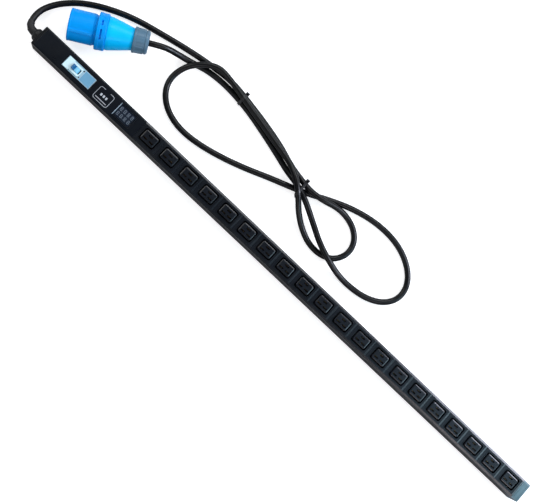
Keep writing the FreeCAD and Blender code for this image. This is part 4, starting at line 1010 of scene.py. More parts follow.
class STRIP_OT_channel(bpy.types.Operator):
    """Make the channel, its end caps, screws and fixing nuts"""

    bl_idname = "strip.channel"
    bl_label = "Channel and end caps"

    wall = 1.6
    back = 2.0
    lip = 2.0
    lip_height = 1.6
    cap_plate = 5.0
    rail = 41.0
    gland_level = 22.0
    screw_level = 4.4
    nut_radius = 4.75
    screw_profile = ((0.0, 2.5), (0.12, 2.75), (0.3, 2.75), (1.4, 1.4), (6.0, 1.25), (6.4, 0.9))

    def execute(self, context):
        self.make_channel()
        self.make_cap("inlet_cap", "inlet_end_cap", -1)
        self.make_cap("far_cap", "far_end_cap", 1)
        self.make_screws()
        self.make_nuts()
        return {"FINISHED"}

    def make_channel(self):
        low, high = box_mm("channel")
        shell = block("painted_shell", low, high)
        trough = block(
            "trough", (low.x - 1, low.y + self.wall, self.back),
            (high.x + 1, high.y - self.wall, high.z - self.lip_height),
        )
        mouth = block(
            "mouth", (low.x - 1, low.y + self.wall + self.lip, self.back),
            (high.x + 1, high.y - self.wall - self.lip, high.z + 1),
        )
        nuts_low, nuts_high = box_mm("mounting_nuts")
        holes = []
        for x in (nuts_low.x + self.nut_radius, nuts_high.x - self.nut_radius):
            holes.append(rod("hole", (x, 0, -1), 3.5, self.back + 2))
        carve(shell, trough, mouth, *holes)
        soften(shell, 0.4, 2, 50)
        fit_out(shell, painted_channel(), stands_for=["channel"])

    def make_cap(self, name, node, side):
        low, high = box_mm(node)
        face = low.x if side < 0 else high.x
        plate = sorted((face, face - side * self.cap_plate))
        cap = block(name, (plate[0], low.y, 0), (plate[1], high.y, self.rail))
        self.add_deck(cap, low.x, high.x, high)
        screw_y = high.y - self.wall - 2.4
        cutters = [self.sink(face, y, side) for y in (-screw_y, screw_y)]
        if side < 0:
            hole = rod("gland_hole", (0, 0, -10), 10.1, 30, 64)
            cutters.append(turn_to(hole, self.along_x(face, 0, self.gland_level)))
        carve(cap, *cutters)
        if side > 0:
            self.add_lines(cap, low.x)
        soften(cap, 0.7, 3, 50)
        # The far cap's teal-blue colour is a painted sheen on black plastic.
        finish = cap_black() if side < 0 else far_cap_painted_sheen()
        fit_out(cap, finish, stands_for=[node])

    def add_deck(self, cap, low_x, high_x, high):
        """Bevelled top of a cap, level with the pieces along the strip."""
        deck = block("deck", (low_x, -high.y, self.rail), (high_x, high.y, high.z - 1.2))
        with Editing(deck) as edit:
            edit.pick("FACE", lambda centre, normal: normal.z > 0.9)
            edit.extrude(z=1.2)
            edit.stretch(1, (high.y - 3.6) / high.y, 1, ((low_x + high_x) / 2, 0, high.z))
        weld(cap, deck)

    def add_lines(self, cap, low_x):
        """Shallow lines moulded across the far cap's top."""
        for x in (low_x + 2.2, low_x + 9.6):
            carve(cap, block("line", (x, -30, 43.6), (x + 0.7, 30, 46)))

    def along_x(self, x, y, z):
        """Turns a piece made along +Z to point along +X at a place in millimetres."""
        return Matrix.Translation(Vector((x, y, z)) * MM) @ Matrix.Rotation(math.radians(90), 4, "Y")

    def sink(self, face, y, side):
        """Countersunk hole for a cap's screw."""
        cone = rod("sink", (0, 0, -0.05), 3.1, 1.45, 40, 1.6)
        shaft = rod("shaft", (0, 0, 0), 1.6, 8, 40)
        weld(cone, shaft)
        return self.turn_in(cone, face, y, side)

    def turn_in(self, thing, face, y, side):
        """Point a piece made along +Z into the strip from one of its ends."""
        turn = self.along_x(face, y, self.screw_level)
        if side > 0:
            turn = turn @ Matrix.Rotation(math.radians(180), 4, "X")
        return turn_to(thing, turn)

    def make_screws(self):
        """Countersunk screws with cross recesses."""
        low, high = box_mm("end_cap_screws")
        made = []
        for side, face in ((-1, low.x), (1, high.x)):
            for y in (low.y + 2.8, high.y - 2.8):
                screw = turned("screw", self.screw_profile, 40)
                for angle in (0, 90):
                    wing = block("wing", (-1.5, -0.28, -0.5), (1.5, 0.28, 0.75))
                    wing.rotation_euler.z = math.radians(angle + 20)
                    carve(screw, settle(wing))
                soften(screw, 0.06, 1)
                made.append(self.turn_in(screw, face, y, side))
        screws = joined("cap_screws", made)
        fit_out(screws, bright_steel(), stands_for=["end_cap_screws"])

    def make_nuts(self):
        """Press nuts in the back, each with a turned thread and a chamfered mouth."""
        low, high = box_mm("mounting_nuts")
        made = []
        for x in (low.x + self.nut_radius, high.x - self.nut_radius):
            rings = [(0.0, 3.45), (2.0, 3.45), (2.0, 4.7), (5.0, 4.7), (5.0, 2.6)]
            for turn in range(8):
                rings += [(4.8 - turn * 0.55, 2.1), (4.55 - turn * 0.55, 2.45)]
            rings += [(0.3, 2.1), (0.0, 2.6)]
            nut = turned("press_nut", rings + rings[:1], 48, closed=True)
            made.append(turn_to(nut, Matrix.Translation(Vector((x, 0, 0)) * MM)))
        nuts = joined("press_nuts", made)
        fit_out(nuts, bright_steel(), stands_for=["mounting_nuts"])


# ---------------------------------------------------------------- head panel

def deck_block(name, low, high, crest=3.6, drop=1.2):
    """Block whose two long top edges slope, as on every top piece."""
    deck = block(name, low, (high[0], high[1], high[2] - drop))
    with Editing(deck) as edit:
        edit.pick("FACE", lambda centre, normal: normal.z > 0.9)
        edit.extrude(z=drop)
        middle = ((low[0] + high[0]) / 2, 0, high[2])
        edit.stretch(1, (high[1] - crest) / high[1], 1, middle)
    return deck


class STRIP_OT_head_panel(bpy.types.Operator):
    """Make the head panel with its windows and the surge protector's printed field"""

    bl_idname = "strip.head_panel"
    bl_label = "Head panel"

    rail = 41.0
    top = 44.0
    window_gap = 0.15
    bezel_flange = 1.2
    ink = 0.07
    field_size = (31.5, 24.8)
    field_gap = 5.5

    def execute(self, context):
        low, high = box_mm("head_panel")
        panel = deck_block("top_panel", (low.x, low.y, self.rail), (high.x, high.y, self.top))
        windows = []
        for node in ("breaker_front", "meter_bezel"):
            near, far = box_mm(node)
            shrink = (self.bezel_flange if node == "meter_bezel" else 0.0) - self.window_gap
            windows.append(block(
                "window", (near.x + shrink, near.y + shrink, 30), (far.x - shrink, far.y - shrink, 50),
            ))
        carve(panel, *windows)
        soften(panel, 0.35, 2, 20)
        clips = self.make_clips(low, high)
        panel = joined("top_panel", [panel, *clips])
        fit_out(panel, top_plastic(), stands_for=["head_panel"])
        self.print_field()
        return {"FINISHED"}

    def make_clips(self, low, high):
        """Snap wedges under the panel, hooked beneath the channel's lips."""
        clips = []
        for x in (low.x + 6, (low.x + high.x) / 2 - 5, high.x - 13):
            for side in (-1, 1):
                near, far = sorted((13.9 * side, 15.7 * side))
                clip = block("clip", (x, near, 34.0), (x + 10, far, 41.02))
                near, far = sorted((15.6 * side, 17.6 * side))
                hook = block("hook", (x, near, 36.6), (x + 10, far, 39.1))
                with Editing(hook) as edit:
                    edit.pick("FACE", lambda centre, normal: normal.z < -0.9)
                    edit.stretch(1, 0.25, 1, (x + 5, 15.7 * side, 36.6))
                clips.append(soften(weld(clip, hook), 0.2, 2))
        return clips

    def print_field(self):
        """Thin printed outline with a gap, an underline and three plain marks."""
        centre_x = box_mm("surge_board")[0].x + 16.5
        centre_y = -2.0
        clear_selection()
        middle = Vector((centre_x, centre_y, self.top + 0.01)) * MM
        bpy.ops.mesh.primitive_plane_add(size=1, location=middle)
        outline = added("field_outline")
        outline.scale = (self.field_size[0] * MM, self.field_size[1] * MM, 1)
        settle(outline)
        with Editing(outline) as edit:
            bpy.ops.mesh.select_all(action="SELECT")
            bpy.ops.mesh.bevel(offset=4 * MM, segments=6, affect="VERTICES")
            edit.pick("FACE", lambda centre, normal: True)
            edit.inset(0.75)
            bpy.ops.mesh.delete(type="FACE")
            for x in (centre_x - self.field_gap, centre_x + self.field_gap):
                bpy.ops.mesh.select_all(action="SELECT")
                bpy.ops.mesh.bisect(plane_co=Vector((x, 0, 0)) * MM, plane_no=(1, 0, 0))
            edit.pick("FACE", lambda centre, normal: (
                centre.y > centre_y + 5 and abs(centre.x - centre_x) < self.field_gap
            ))
            bpy.ops.mesh.delete(type="FACE")
            bpy.ops.mesh.select_all(action="SELECT")
            edit.extrude(z=0.06)
            bpy.ops.mesh.select_all(action="SELECT")
            bpy.ops.mesh.normals_make_consistent(inside=False)
        marks = [outline]
        high = self.top + self.ink
        bar = block("underline", (centre_x - 12, -10.2, self.top), (centre_x + 12, -9.0, high))
        marks.append(soften(bar, 0.03, 1))
        for step in (-1, 0, 1):
            x = centre_x + step * 5.6
            mark = block("mark", (x - 1.7, -3.6, self.top), (x + 1.7, 1.2, high))
            marks.append(round_corners(mark, lambda centre: True, 1.0))
        field = joined("surge_field", marks)
        fit_out(field, printed_ink())


# ---------------------------------------------------------------- breaker

class STRIP_OT_breaker(bpy.types.Operator):
    """Make the breaker's front, its raised white collar, label, screws and toggle"""

    bl_idname = "strip.breaker"
    bl_label = "Breaker"

    base_top = 43.3
    top = 45.0
    block_length = 13.5
    ring_end = 34.0
    ring_half = 8.5
    raised_from = 42.8
    slot = (15.5, 32.5, 4.9)
    screw = (35.5, 7.1)
    drum_radius = 6.6
    drum_half = 4.5
    trunnion = (1.5, 6.7)
    lean = 38

    def execute(self, context):
        low, high = box_mm("breaker_front")
        self.make_front(low, high)
        self.make_label(low, high)
        self.make_screw_pits(low)
        self.make_toggle()
        return {"FINISHED"}

    def make_front(self, low, high):
        front = block("breaker_cover", low, (high.x, high.y, self.base_top))
        side = high.y - 0.6
        raised = block(
            "breaker_collar", (low.x + 1.3, -side, self.raised_from),
            (low.x + self.block_length, side, self.top),
        )
        round_corners(raised, lambda centre: True, 1.6)
        ring = block(
            "ring", (low.x + 6, -self.ring_half, self.raised_from),
            (low.x + self.ring_end, self.ring_half, self.top),
        )
        round_corners(ring, lambda centre: True, 2.6, 6)
        weld(raised, ring)
        slot_start, slot_end, slot_half = self.slot
        cut = block(
            "slot", (low.x + slot_start, -slot_half, low.z - 1),
            (low.x + slot_end, slot_half, self.top + 1),
        )
        round_corners(cut, lambda centre: True, 1.0)
        near, far = self.label_box(high)
        recess = block(
            "recess", (near.x - 0.1, near.y - 0.1, near.z), (far.x + 0.1, far.y + 0.1, self.base_top + 1),
        )
        pits = []
        for side in (-1, 1):
            place = (low.x + self.screw[0], self.screw[1] * side, self.base_top - 3)
            pits.append(rod("pit", place, 1.35, 8))
        carve(raised, copied(cut, "slot_again"))
        soften(raised, 0.35, 3, 40)
        fit_out(raised, breaker_white())
        carve(front, cut, recess, *pits)
        soften(front, 0.35, 3, 40)
        # The lower front is coloured a darker blue-grey as painted shade beside the raised collar.
        fit_out(front, breaker_base_painted_shade(), stands_for=["breaker_front"])

    def label_box(self, high):
        """The label's corners, drawn out to a thin margin at the breaker's far end."""
        near, far = box_mm("breaker_label")
        far.x = high.x - 0.7
        return near, far

    def make_label(self, low, high):
        near, far = self.label_box(high)
        plate = block("label_plate", (near.x, near.y, near.z), (far.x, far.y, far.z))
        round_corners(plate, lambda centre: True, 0.8)
        soften(plate, 0.08, 2)
        fit_out(plate, breaker_film(), stands_for=["breaker_label"])
        border = block(
            "label_border", (near.x + 0.1, near.y + 0.1, far.z - 0.02),
            (far.x - 0.1, far.y - 0.1, far.z + 0.06),
        )
        hole = block("hole", (near.x + 0.6, near.y + 0.6, far.z - 1), (far.x - 0.6, far.y - 0.6, far.z + 1))
        carve(border, hole)
        soften(border, 0.03, 1)
        fit_out(border, film_edge_and_painted_glint())

    def make_screw_pits(self, low):
        """Dark slotted screws at the bottom of the two pits."""
        made = []
        for side in (-1, 1):
            screw = turned("pit_screw", [(0, 1.2), (0.9, 1.2), (1.1, 1.0)], 32)
            wing = block("wing", (-1.4, -0.2, 0.7), (1.4, 0.2, 2))
            carve(screw, wing)
            place = Vector((low.x + self.screw[0], self.screw[1] * side, self.base_top - 2.9)) * MM
            made.append(turn_to(screw, Matrix.Translation(place)))
        screws = joined("cover_screws", made)
        fit_out(screws, inner_plastic())

    def make_toggle(self):
        joint = frame["joints"][0]
        pivot = Vector(joint["pos_m"]) / MM
        hub = rod("toggle_drum", (0, 0, -self.drum_half), self.drum_radius, 2 * self.drum_half, 72)
        turn_to(hub, Matrix.Rotation(math.radians(90), 4, "X"))
        lever = block("toggle_lever", (-2.4, -4.45, 0), (2.4, 4.45, 9.0))
        with Editing(lever) as edit:
            edit.pick("FACE", lambda centre, normal: normal.z > 0.9)
            edit.extrude(z=3.4)
            edit.stretch(0.74, 1, 1, (-0.3, 0, 12.4))
            edit.extrude(z=0.5)
            edit.stretch(0.6, 0.94, 1, (-0.3, 0, 12.9))
        for height in (9.2, 10.6, 12.0):
            groove = block("grip", (1.75, -3.8, height), (3.0, 3.8, height + 0.6))
            carve(lever, groove)
        radius, reach = self.trunnion
        pins = rod("pins", (0, 0, -reach), radius, 2 * reach, 32)
        weld(hub, turn_to(pins, Matrix.Rotation(math.radians(90), 4, "X")))
        lean = Matrix.Rotation(math.radians(-self.lean), 4, "Y")
        for piece in (hub, lever):
            soften(piece, 0.3, 3, 40)
            turn_to(piece, Matrix.Translation(pivot * MM) @ lean)
        fit_out(hub, drum_cyan(), body="toggle")
        fit_out(lever, toggle_blue(), body="toggle", stands_for=["breaker_toggle"])


# ---------------------------------------------------------------- meter

class STRIP_OT_meter(bpy.types.Operator):
    """Make the meter's bezel, window and unlit digits"""

    bl_idname = "strip.meter"
    bl_label = "Meter"

    rail = 41.0
    flange = 1.2
    digit_pitch = 8.0
    digit_height = 7.2
    digit_width = 4.4
    bar_width = 1.1
    row_offset = 4.9

    def execute(self, context):
        self.make_bezel()
        self.make_window()
        self.make_digits()
        return {"FINISHED"}

    def make_bezel(self):
        low, high = box_mm("meter_bezel")
        inset = self.flange
        body = block(
            "meter_frame", (low.x + inset, low.y + inset, self.rail),
            (high.x - inset, high.y - inset, high.z),
        )
        round_corners(body, lambda centre: True, 1.2)
        flange = block("flange", (low.x, low.y, 39.4), (high.x, high.y, self.rail))
        weld(body, flange)
        near, far = box_mm("meter_lens")
        opening = block("opening", (near.x - 0.1, near.y - 0.1, 30), (far.x + 0.1, far.y + 0.1, 50))
        carve(body, opening)
        soften(body, 0.35, 3)
        fit_out(body, top_plastic(), stands_for=["meter_bezel"])
        # Painted highlight: a pale line along the bezel's top edge stands for a glint of light.
        line = block(
            "meter_glint", (low.x + 1.5, low.y + 1.8, high.z - 0.05),
            (low.x + 2.3, high.y - 1.8, high.z + 0.04),
        )
        soften(line, 0.04, 2)
        fit_out(line, film_edge_and_painted_glint())

    def make_window(self):
        low, high = box_mm("meter_lens")
        pane = block("meter_pane", low, high)
        soften(pane, 0.15, 2)
        fit_out(pane, meter_window(), stands_for=["meter_lens"])

    def digit(self, x, y, level):
        """One unlit figure of seven bars and a point, upright across the strip."""
        wide, tall, thick = self.digit_width, self.digit_height, self.bar_width
        bars = []
        for height in (0, 0.5, 1):
            z = (height - 0.5) * (tall - thick)
            bars.append(((x - wide / 2 + 0.9, y + z - thick / 2), (x + wide / 2 - 0.9, y + z + thick / 2)))
        for half in (-1, 1):
            for side in (-1, 1):
                bar_x = x + side * (wide - thick) / 2
                near, far = sorted((0.35 * half, (tall / 2 - 0.75) * half))
                bars.append(((bar_x - thick / 2, y + near), (bar_x + thick / 2, y + far)))
        bars.append(((x + wide / 2 + 0.35, y - tall / 2), (x + wide / 2 + 1.15, y - tall / 2 + 0.8)))
        made = []
        for low, high in bars:
            bar = block("bar", (*low, level), (*high, level + 0.12))
            made.append(round_corners(bar, lambda centre: True, 0.3, 2))
        return made

    def make_digits(self):
        low, high = box_mm("meter_display")
        middle = (low + high) / 2
        one = joined("figure", self.digit(0, 0, high.z + 0.01))
        figures = []
        for row in (-1, 1):
            for column in range(4):
                x = middle.x + (column - 1.5) * self.digit_pitch
                figures.append(copied(one, f"figure_{row}_{column}", (x, row * self.row_offset, 0)))
        bpy.data.objects.remove(one)
        digits = joined("meter_digits", figures)
        fit_out(digits, digit_grey())


# ---------------------------------------------------------------- outlets

class STRIP_OT_outlets(bpy.types.Operator):
    """Model one outlet and its contacts, and copy them along the strip"""

    bl_idname = "strip.outlets"
    bl_label = "Outlets"

    core = (27.4, 19.2)
    top = 44.0
    rail = 41.0
    poles = ((-6.5, -4.0), (6.5, -4.0), (0.0, 4.0))
    slot = (8.6, 2.8)
    crown_rise = 0.45
    crown_slope = 1.3
    core_corner = 2.2
    groove_corner = 3.6
    rim_height = 0.6
    skirt_depth = 26.0
    crest = 3.6

    def execute(self, context):
        sizes = context.scene.outlet_sizes
        low, high = box_mm("outlet_01")
        half = (high.x - low.x) / 2
        first = self.model_outlet(sizes, half, high.y)
        contacts = self.model_contacts()
        number = 1
        while f"outlet_{number:02d}" in frame["nodes"]:
            node = f"outlet_{number:02d}"
            near, far = box_mm(node)
            x = (near.x + far.x) / 2
            outlet = copied(first, f"socket_{number:02d}", (x, 0, 0))
            fit_out(outlet, outlet_black(), stands_for=[node])
            leaves = copied(contacts, f"contacts_{number:02d}", (x, 0, 0))
            fit_out(leaves, contact_metal())
            number += 1
        bpy.data.objects.remove(first)
        bpy.data.objects.remove(contacts)
        return {"FINISHED"}

    def model_outlet(self, sizes, half, half_width):
        gap = sizes.groove_gap / MM
        rim = sizes.rim / MM
        depth = sizes.groove_depth / MM
        groove = (self.core[0] + 2 * gap, self.core[1] + 2 * gap)
        outlet = deck_block("outlet_body", (-half, -half_width, self.rail), (half, half_width, self.top))
        skirt = self.rounded(
            "skirt", groove[0] + 3.6, groove[1] + 3.6, self.rail - self.skirt_depth, self.rail + 0.5, 4.0,
        )
        rim_top = self.top + self.rim_height
        raised = self.rounded(
            "raised", groove[0] + 2 * rim, groove[1] + 2 * rim, self.top - 0.5, rim_top,
            self.groove_corner + rim,
        )
        weld(outlet, skirt, raised)
        floor = rim_top - depth
        ring = self.rounded("ring", *groove, floor, self.top + 5, self.groove_corner)
        carve(ring, self.rounded("core", *self.core, floor - 1, self.top + 6, self.core_corner))
        slots = []
        for x, y in self.poles:
            long, wide = self.slot
            slots.append(block("slot", (x - long / 2, y - wide / 2, 10), (x + long / 2, y + wide / 2, 50)))
        lowered = block("lowered", (-15, -11, self.top), (15, 11, self.top + 3))
        carve(outlet, ring, lowered)
        carve(weld(outlet, self.crown()), *slots)
        crest = half_width - self.crest
        rib = block("rib", (half - 2.9, -crest, self.top - 0.3), (half - 0.5, crest, self.top + 0.7))
        with Editing(rib) as edit:
            edit.pick("EDGE", lambda centre, way: (
                abs(way.y) > 0.9 and centre.x > half - 1 and centre.z > self.top
            ))
            bpy.ops.transform.translate(value=(0, 0, -0.45 * MM))
        weld(outlet, rib)
        return soften(outlet, 0.4, 2, 9)

    def crown(self):
        """Top of the core, with a shallow slope all round."""
        long, wide = self.core
        cap = self.rounded("crown", long, wide, self.top - 0.5, self.top, self.core_corner)
        with Editing(cap) as edit:
            edit.pick("FACE", lambda centre, normal: normal.z > 0.9)
            edit.extrude(z=self.crown_rise)
            shrink = 2 * self.crown_slope
            edit.stretch(1 - shrink / long, 1 - shrink / wide, 1, (0, 0, self.top + self.crown_rise))
        return cap

    def rounded(self, name, long, wide, low, high, corner):
        """Upright block with rounded corners about the outlet's middle."""
        body = block(name, (-long / 2, -wide / 2, low), (long / 2, wide / 2, high))
        return round_corners(body, lambda centre: True, corner)

    def model_contacts(self):
        """Sprung leaf pairs that show in the slots."""
        leaves = []
        for x, y in self.poles:
            for side in (-1, 1):
                near, far = sorted((0.75 * side, 1.3 * side))
                leaf = block("leaf", (x - 3.3, y + near, 26), (x + 3.3, y + far, 39.6))
                with Editing(leaf) as edit:
                    edit.pick("FACE", lambda centre, normal: normal.z > 0.9)
                    edit.extrude(y=0.25 * side, z=0.8)
                leaves.append(soften(leaf, 0.12, 2))
        return joined("leaves", leaves)


# ---------------------------------------------------------------- gland

class STRIP_OT_gland(bpy.types.Operator):
    """Make the cord gland's flange, domed cap and exit sleeve"""

    bl_idname = "strip.gland"
    bl_label = "Cord gland"

    level = 22.0
    ribs = 16
    flange_profile = ((0, 8.2), (0, 11.6), (0.4, 12.0), (2.6, 12.0), (3.0, 11.6), (3.0, 8.2), (0, 8.2))
    cap_profile = (
        (3.1, 8.2), (3.1, 11.3), (3.4, 11.6), (7.4, 11.6), (8.4, 11.2), (10.2, 9.6), (11.4, 8.4),
        (12.0, 7.4), (12.0, 5.8), (8.8, 5.8), (7.4, 8.2), (3.1, 8.2),
    )
    sleeve_profile = (
        (0.0, 5.6), (0.0, 7.2), (2.0, 7.3), (9.0, 7.0), (16.0, 6.5), (22.0, 6.15), (23.0, 5.9),
        (23.0, 5.45), (12.0, 5.5),
    )

    def execute(self, context):
        face = box_mm("inlet_end_cap")[0].x
        outward = Matrix.Rotation(math.radians(-90), 4, "Y")
        turn = Matrix.Translation(Vector((face, 0, self.level)) * MM) @ outward
        flange = turned("gland_flange", self.flange_profile, closed=True)
        turn_to(flange, turn)
        fit_out(flange, gland_nylon(), stands_for=["gland_body"])
        cap = turned("gland_cap", self.cap_profile, closed=True)
        for step in range(self.ribs):
            angle = math.tau * step / self.ribs
            notch = rod("notch", (math.cos(angle) * 12.1, math.sin(angle) * 12.1, 3.4), 0.75, 4.6, 12)
            carve(cap, notch)
        soften(cap, 0.15, 2, 40)
        turn_to(cap, turn)
        fit_out(cap, gland_nylon(), stands_for=["gland_nut"])
        sleeve = sleeve_along("exit_sleeve", route_line(), self.sleeve_profile)
        fit_out(sleeve, soft_rubber())
        return {"FINISHED"}


# ---------------------------------------------------------------- plug

class STRIP_OT_plug(bpy.types.Operator):
    """Make the plug: shroud, face with pins, rear body and grip nut"""

    bl_idname = "strip.plug"
    bl_label = "Plug"

    shroud = 28.0
    bore = 24.6
    depth = 40.0
    collar = 32.5
    collar_span = (48.0, 65.0)
    slot_section = ((-4.0, -1.5), (2.0, -1.5), (2.0, 1.5), (-4.0, 1.5))
    pin_ring = 15.5

    def execute(self, context):
        sizes = context.scene.plug_sizes
        self.turn = self.plug_frame(sizes)
        self.make_front()
        self.make_face()
        self.make_back()
        self.make_nut(sizes)
        return {"FINISHED"}

    def plug_frame(self, sizes):
        """Matrix from the plug's own axis, +Z from mouth to nut, to its place."""
        end = Vector(CORD_ROUTE[-1])
        way = (Vector(CORD_ROUTE[-2]) - end).normalized()
        mouth = end - way * sizes.length
        side = Vector((0, 0, 1)).cross(way).normalized()
        top = way.cross(side)
        axes = Matrix((side, top, way)).transposed().to_4x4()
        return Matrix.Translation(mouth) @ axes @ Matrix.Rotation(sizes.roll, 4, "Z")

    def make_front(self):
        start, end = self.collar_span
        front = turned(
            "plug_front",
            [
                (0, self.bore), (0.3, self.bore + 0.5), (0, 26.4), (0.5, 27.6), (1.2, 28.0), (3.2, 28.0),
                (3.6, 27.5), (42.6, 27.5), (45.0, 26.0), (47.6, 26.0), (48.0, self.collar - 1.2),
                (49.0, self.collar), (54.0, self.collar), (54.6, self.collar - 0.5),
                (end - 1.4, self.collar - 0.5), (end, self.collar - 1.6), (end, 23.0), (self.depth, 23.0),
                (self.depth, self.bore), (0, self.bore),
            ],
            160, closed=True,
        )
        key = block("key", (-3.5, 26.6, 0.6), (3.5, 29.2, 42))
        with Editing(key) as edit:
            edit.pick("FACE", lambda centre, normal: normal.y > 0.9)
            edit.stretch(0.7, 1, 1, (0, 29.2, 21))
        soften(key, 0.5, 3)
        weld(front, key)
        for middle, half in ((42, 9), (80, 16), (222, 9), (260, 16)):
            carve(front, self.collar_slot(start + 8.2, middle, half))
        soften(front, 0.35, 2, 40)
        turn_to(front, self.turn)
        fit_out(front, plug_blue(), stands_for=["plug_shroud"])

    def collar_slot(self, height, middle, half):
        """Cutter for a slot that runs round the collar, from one angle to another in degrees."""
        steps = 12
        corners = []
        for step in range(steps + 1):
            angle = math.radians(middle + half * (2 * step / steps - 1))
            for radius, z in self.slot_section:
                radius += self.collar
                corners.append((radius * math.cos(angle), radius * math.sin(angle), height + z))
        mesh = bpy.data.meshes.new("collar_slot")
        faces = [(0, 1, 2, 3), tuple(steps * 4 + corner for corner in (3, 2, 1, 0))]
        for step in range(steps):
            for corner in range(4):
                beside = (corner + 1) % 4
                near, far = step * 4, step * 4 + 4
                faces.append((near + beside, near + corner, far + corner, far + beside))
        mesh.from_pydata([Vector(corner) * MM for corner in corners], [], faces)
        cutter = bpy.data.objects.new("collar_slot", mesh)
        bpy.context.scene.collection.objects.link(cutter)
        with Editing(cutter):
            bpy.ops.mesh.select_all(action="SELECT")
            bpy.ops.mesh.normals_make_consistent(inside=False)
        return cutter

    def make_face(self):
        face = turned("plug_face", [(36.0, 22.6), (36.4, 22.9), (60.0, 22.9)])
        ridge = turned(
            "ridge", [(35.0, 9.4), (35.0, 10.6), (37.0, 10.6), (37.0, 9.4), (35.0, 9.4)], 64, closed=True,
        )
        weld(face, ridge)
        holes = []
        pins = []
        for name, angle, radius in (("earth", 90, 4.0), ("live", 210, 3.0), ("neutral", 330, 3.0)):
            x = self.pin_ring * math.cos(math.radians(angle))
            y = self.pin_ring * math.sin(math.radians(angle))
            holes.append(rod("hole", (x, y, 30), radius + 0.45, 18, 40))
            pin = turned(
                f"{name}_pin",
                [
                    (8.0, radius * 0.35), (8.3, radius * 0.7), (9.2, radius * 0.95), (10.4, radius),
                    (64, radius),
                ],
                40,
            )
            pins.append(turn_to(pin, Matrix.Translation(Vector((x, y, 0)) * MM)))
        carve(face, *holes)
        soften(face, 0.3, 2, 40)
        turn_to(face, self.turn)
        fit_out(face, plug_insert_blue(), stands_for=["plug_insert"])
        pins = turn_to(joined("plug_pins", pins), self.turn)
        fit_out(pins, plated_pin(), stands_for=["plug_power_pins", "plug_earth_pin"])

    def make_back(self):
        back = turned(
            "plug_back",
            [
                (65.2, 20.0), (65.2, 28.4), (65.8, 29.0), (70.5, 29.0), (72.0, 28.6), (90.0, 24.4),
                (106.5, 20.2), (108.0, 19.8), (110.4, 19.6), (111.0, 19.2), (111.0, 17.5),
                (122.0, 17.5), (122.0, 14.5), (109.0, 14.5), (71.0, 19.9), (65.2, 20.0),
            ],
            160, closed=True,
        )
        ribs = []
        for angle in (90, 210, 330):
            rib = block("rib", (-2.6, 26.4, 66), (2.6, 29.6, 90))
            with Editing(rib) as edit:
                edit.pick("FACE", lambda centre, normal: normal.z > 0.9)
                edit.stretch(0.5, 1, 1, (0, 24.0, 90))
                bpy.ops.transform.translate(value=Vector((0, -4.6, 0)) * MM)
            rib.rotation_euler.z = math.radians(angle - 90)
            ribs.append(soften(settle(rib), 0.5, 3))
        weld(back, *ribs)
        soften(back, 0.3, 2, 40)
        turn_to(back, self.turn)
        fit_out(back, rear_blue(), stands_for=["plug_rear_body"])

    def make_nut(self, sizes):
        nut = turned(
            "plug_grip_nut",
            [
                (111.2, 17.6), (111.2, 22.0), (111.9, 22.7), (115.4, 22.7), (116.0, 21.4), (130.6, 20.9),
                (131.0, 20.2), (131.8, 20.2), (132.2, 21.0), (135.8, 20.6), (137.6, 18.6), (138.0, 16.0),
                (138.0, 6.2), (137.0, 5.7), (130.0, 5.7), (123.0, 14.5), (123.0, 17.6), (111.2, 17.6),
            ],
            sizes.ribs * 12, closed=True,
        )
        ribs = []
        for step in range(sizes.ribs):
            rib = block("rib", (-2.2, 20.0, 115.2), (2.2, 22.1, 130.4))
            with Editing(rib) as edit:
                edit.pick("FACE", lambda centre, normal: normal.z > 0.9)
                edit.stretch(0.8, 1, 1, (0, 0, 130.4))
                bpy.ops.transform.translate(value=Vector((0, -0.5, 0)) * MM)
            soften(rib, 0.8, 3)
            rib.rotation_euler.z = math.tau * (step + 0.5) / sizes.ribs
            ribs.append(settle(rib))
        weld(nut, *ribs)
        soften(nut, 0.25, 2, 40)
        turn_to(nut, self.turn)
        fit_out(nut, nut_slate(), stands_for=["plug_nut"])


# ---------------------------------------------------------------- inner pieces

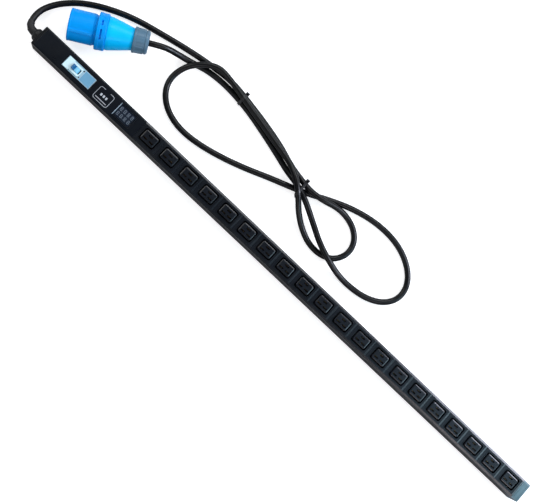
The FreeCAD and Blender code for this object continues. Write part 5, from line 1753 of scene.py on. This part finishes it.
class STRIP_OT_inner_pieces(bpy.types.Operator):
    """Give the pieces inside the strip and the plug their finishes"""

    bl_idname = "strip.inner_pieces"
    bl_label = "Inner pieces"

    finishes = {
        inner_plastic: ["breaker_housing", "current_transformer", "busbar_carrier"],
        busbar_brass: [
            "breaker_terminals", "live_busbar", "neutral_busbar", "earth_busbar", "earth_stud",
        ],
        display_black: ["meter_display"],
        board_green: ["meter_board", "surge_board"],
        varistor_blue: ["surge_varistors"],
        soft_rubber: ["gland_seal"],
        gland_nylon: ["gland_locknut"],
        cord_sheath: ["cord_inner_end", "plug_cord_end"],
        sleeve_brown: ["live_wires"],
        sleeve_blue: ["neutral_wires"],
        sleeve_green: ["earth_wires"],
    }

    def execute(self, context):
        for make_material, nodes in self.finishes.items():
            for node in nodes:
                thing = frame["nodes"][node]
                thing.data.materials.clear()
                thing.data.materials.append(make_material())
        return {"FINISHED"}


# ---------------------------------------------------------------- panel and running

class STRIP_PT_sidebar(bpy.types.Panel):
    """Lists the strip's pieces in the order they are made"""

    bl_label = "Power Strip"
    bl_idname = "STRIP_PT_sidebar"
    bl_space_type = "VIEW_3D"
    bl_region_type = "UI"
    bl_category = "Power Strip"

    def draw(self, context):
        for title, settings in SETTINGS.items():
            box = self.layout.box()
            for name in settings.__annotations__:
                box.prop(getattr(context.scene, title), name)
        for operator in OPERATORS:
            self.layout.operator(operator.bl_idname)


SETTINGS = {
    "stage_sizes": StageSettings,
    "cord_sizes": CordSettings,
    "strip_sizes": StripSettings,
    "outlet_sizes": OutletSettings,
    "plug_sizes": PlugSettings,
}
OPERATORS = [
    STRIP_OT_stage,
    STRIP_OT_gland,
    STRIP_OT_ties,
    STRIP_OT_plug,
    STRIP_OT_cord,
    STRIP_OT_channel,
    STRIP_OT_head_panel,
    STRIP_OT_breaker,
    STRIP_OT_meter,
    STRIP_OT_outlets,
    STRIP_OT_inner_pieces,
]


def register():
    for name, settings in SETTINGS.items():
        bpy.utils.register_class(settings)
        setattr(bpy.types.Scene, name, PointerProperty(type=settings))
    for operator in OPERATORS:
        bpy.utils.register_class(operator)
    bpy.utils.register_class(STRIP_PT_sidebar)


def unregister():
    bpy.utils.unregister_class(STRIP_PT_sidebar)
    for operator in reversed(OPERATORS):
        bpy.utils.unregister_class(operator)
    for name, settings in SETTINGS.items():
        delattr(bpy.types.Scene, name)
        bpy.utils.unregister_class(settings)


def main():
    register()
    for operator in OPERATORS:
        module, name = operator.bl_idname.split(".")
        getattr(getattr(bpy.ops, module), name)()


if __name__ == "__main__":
    main()
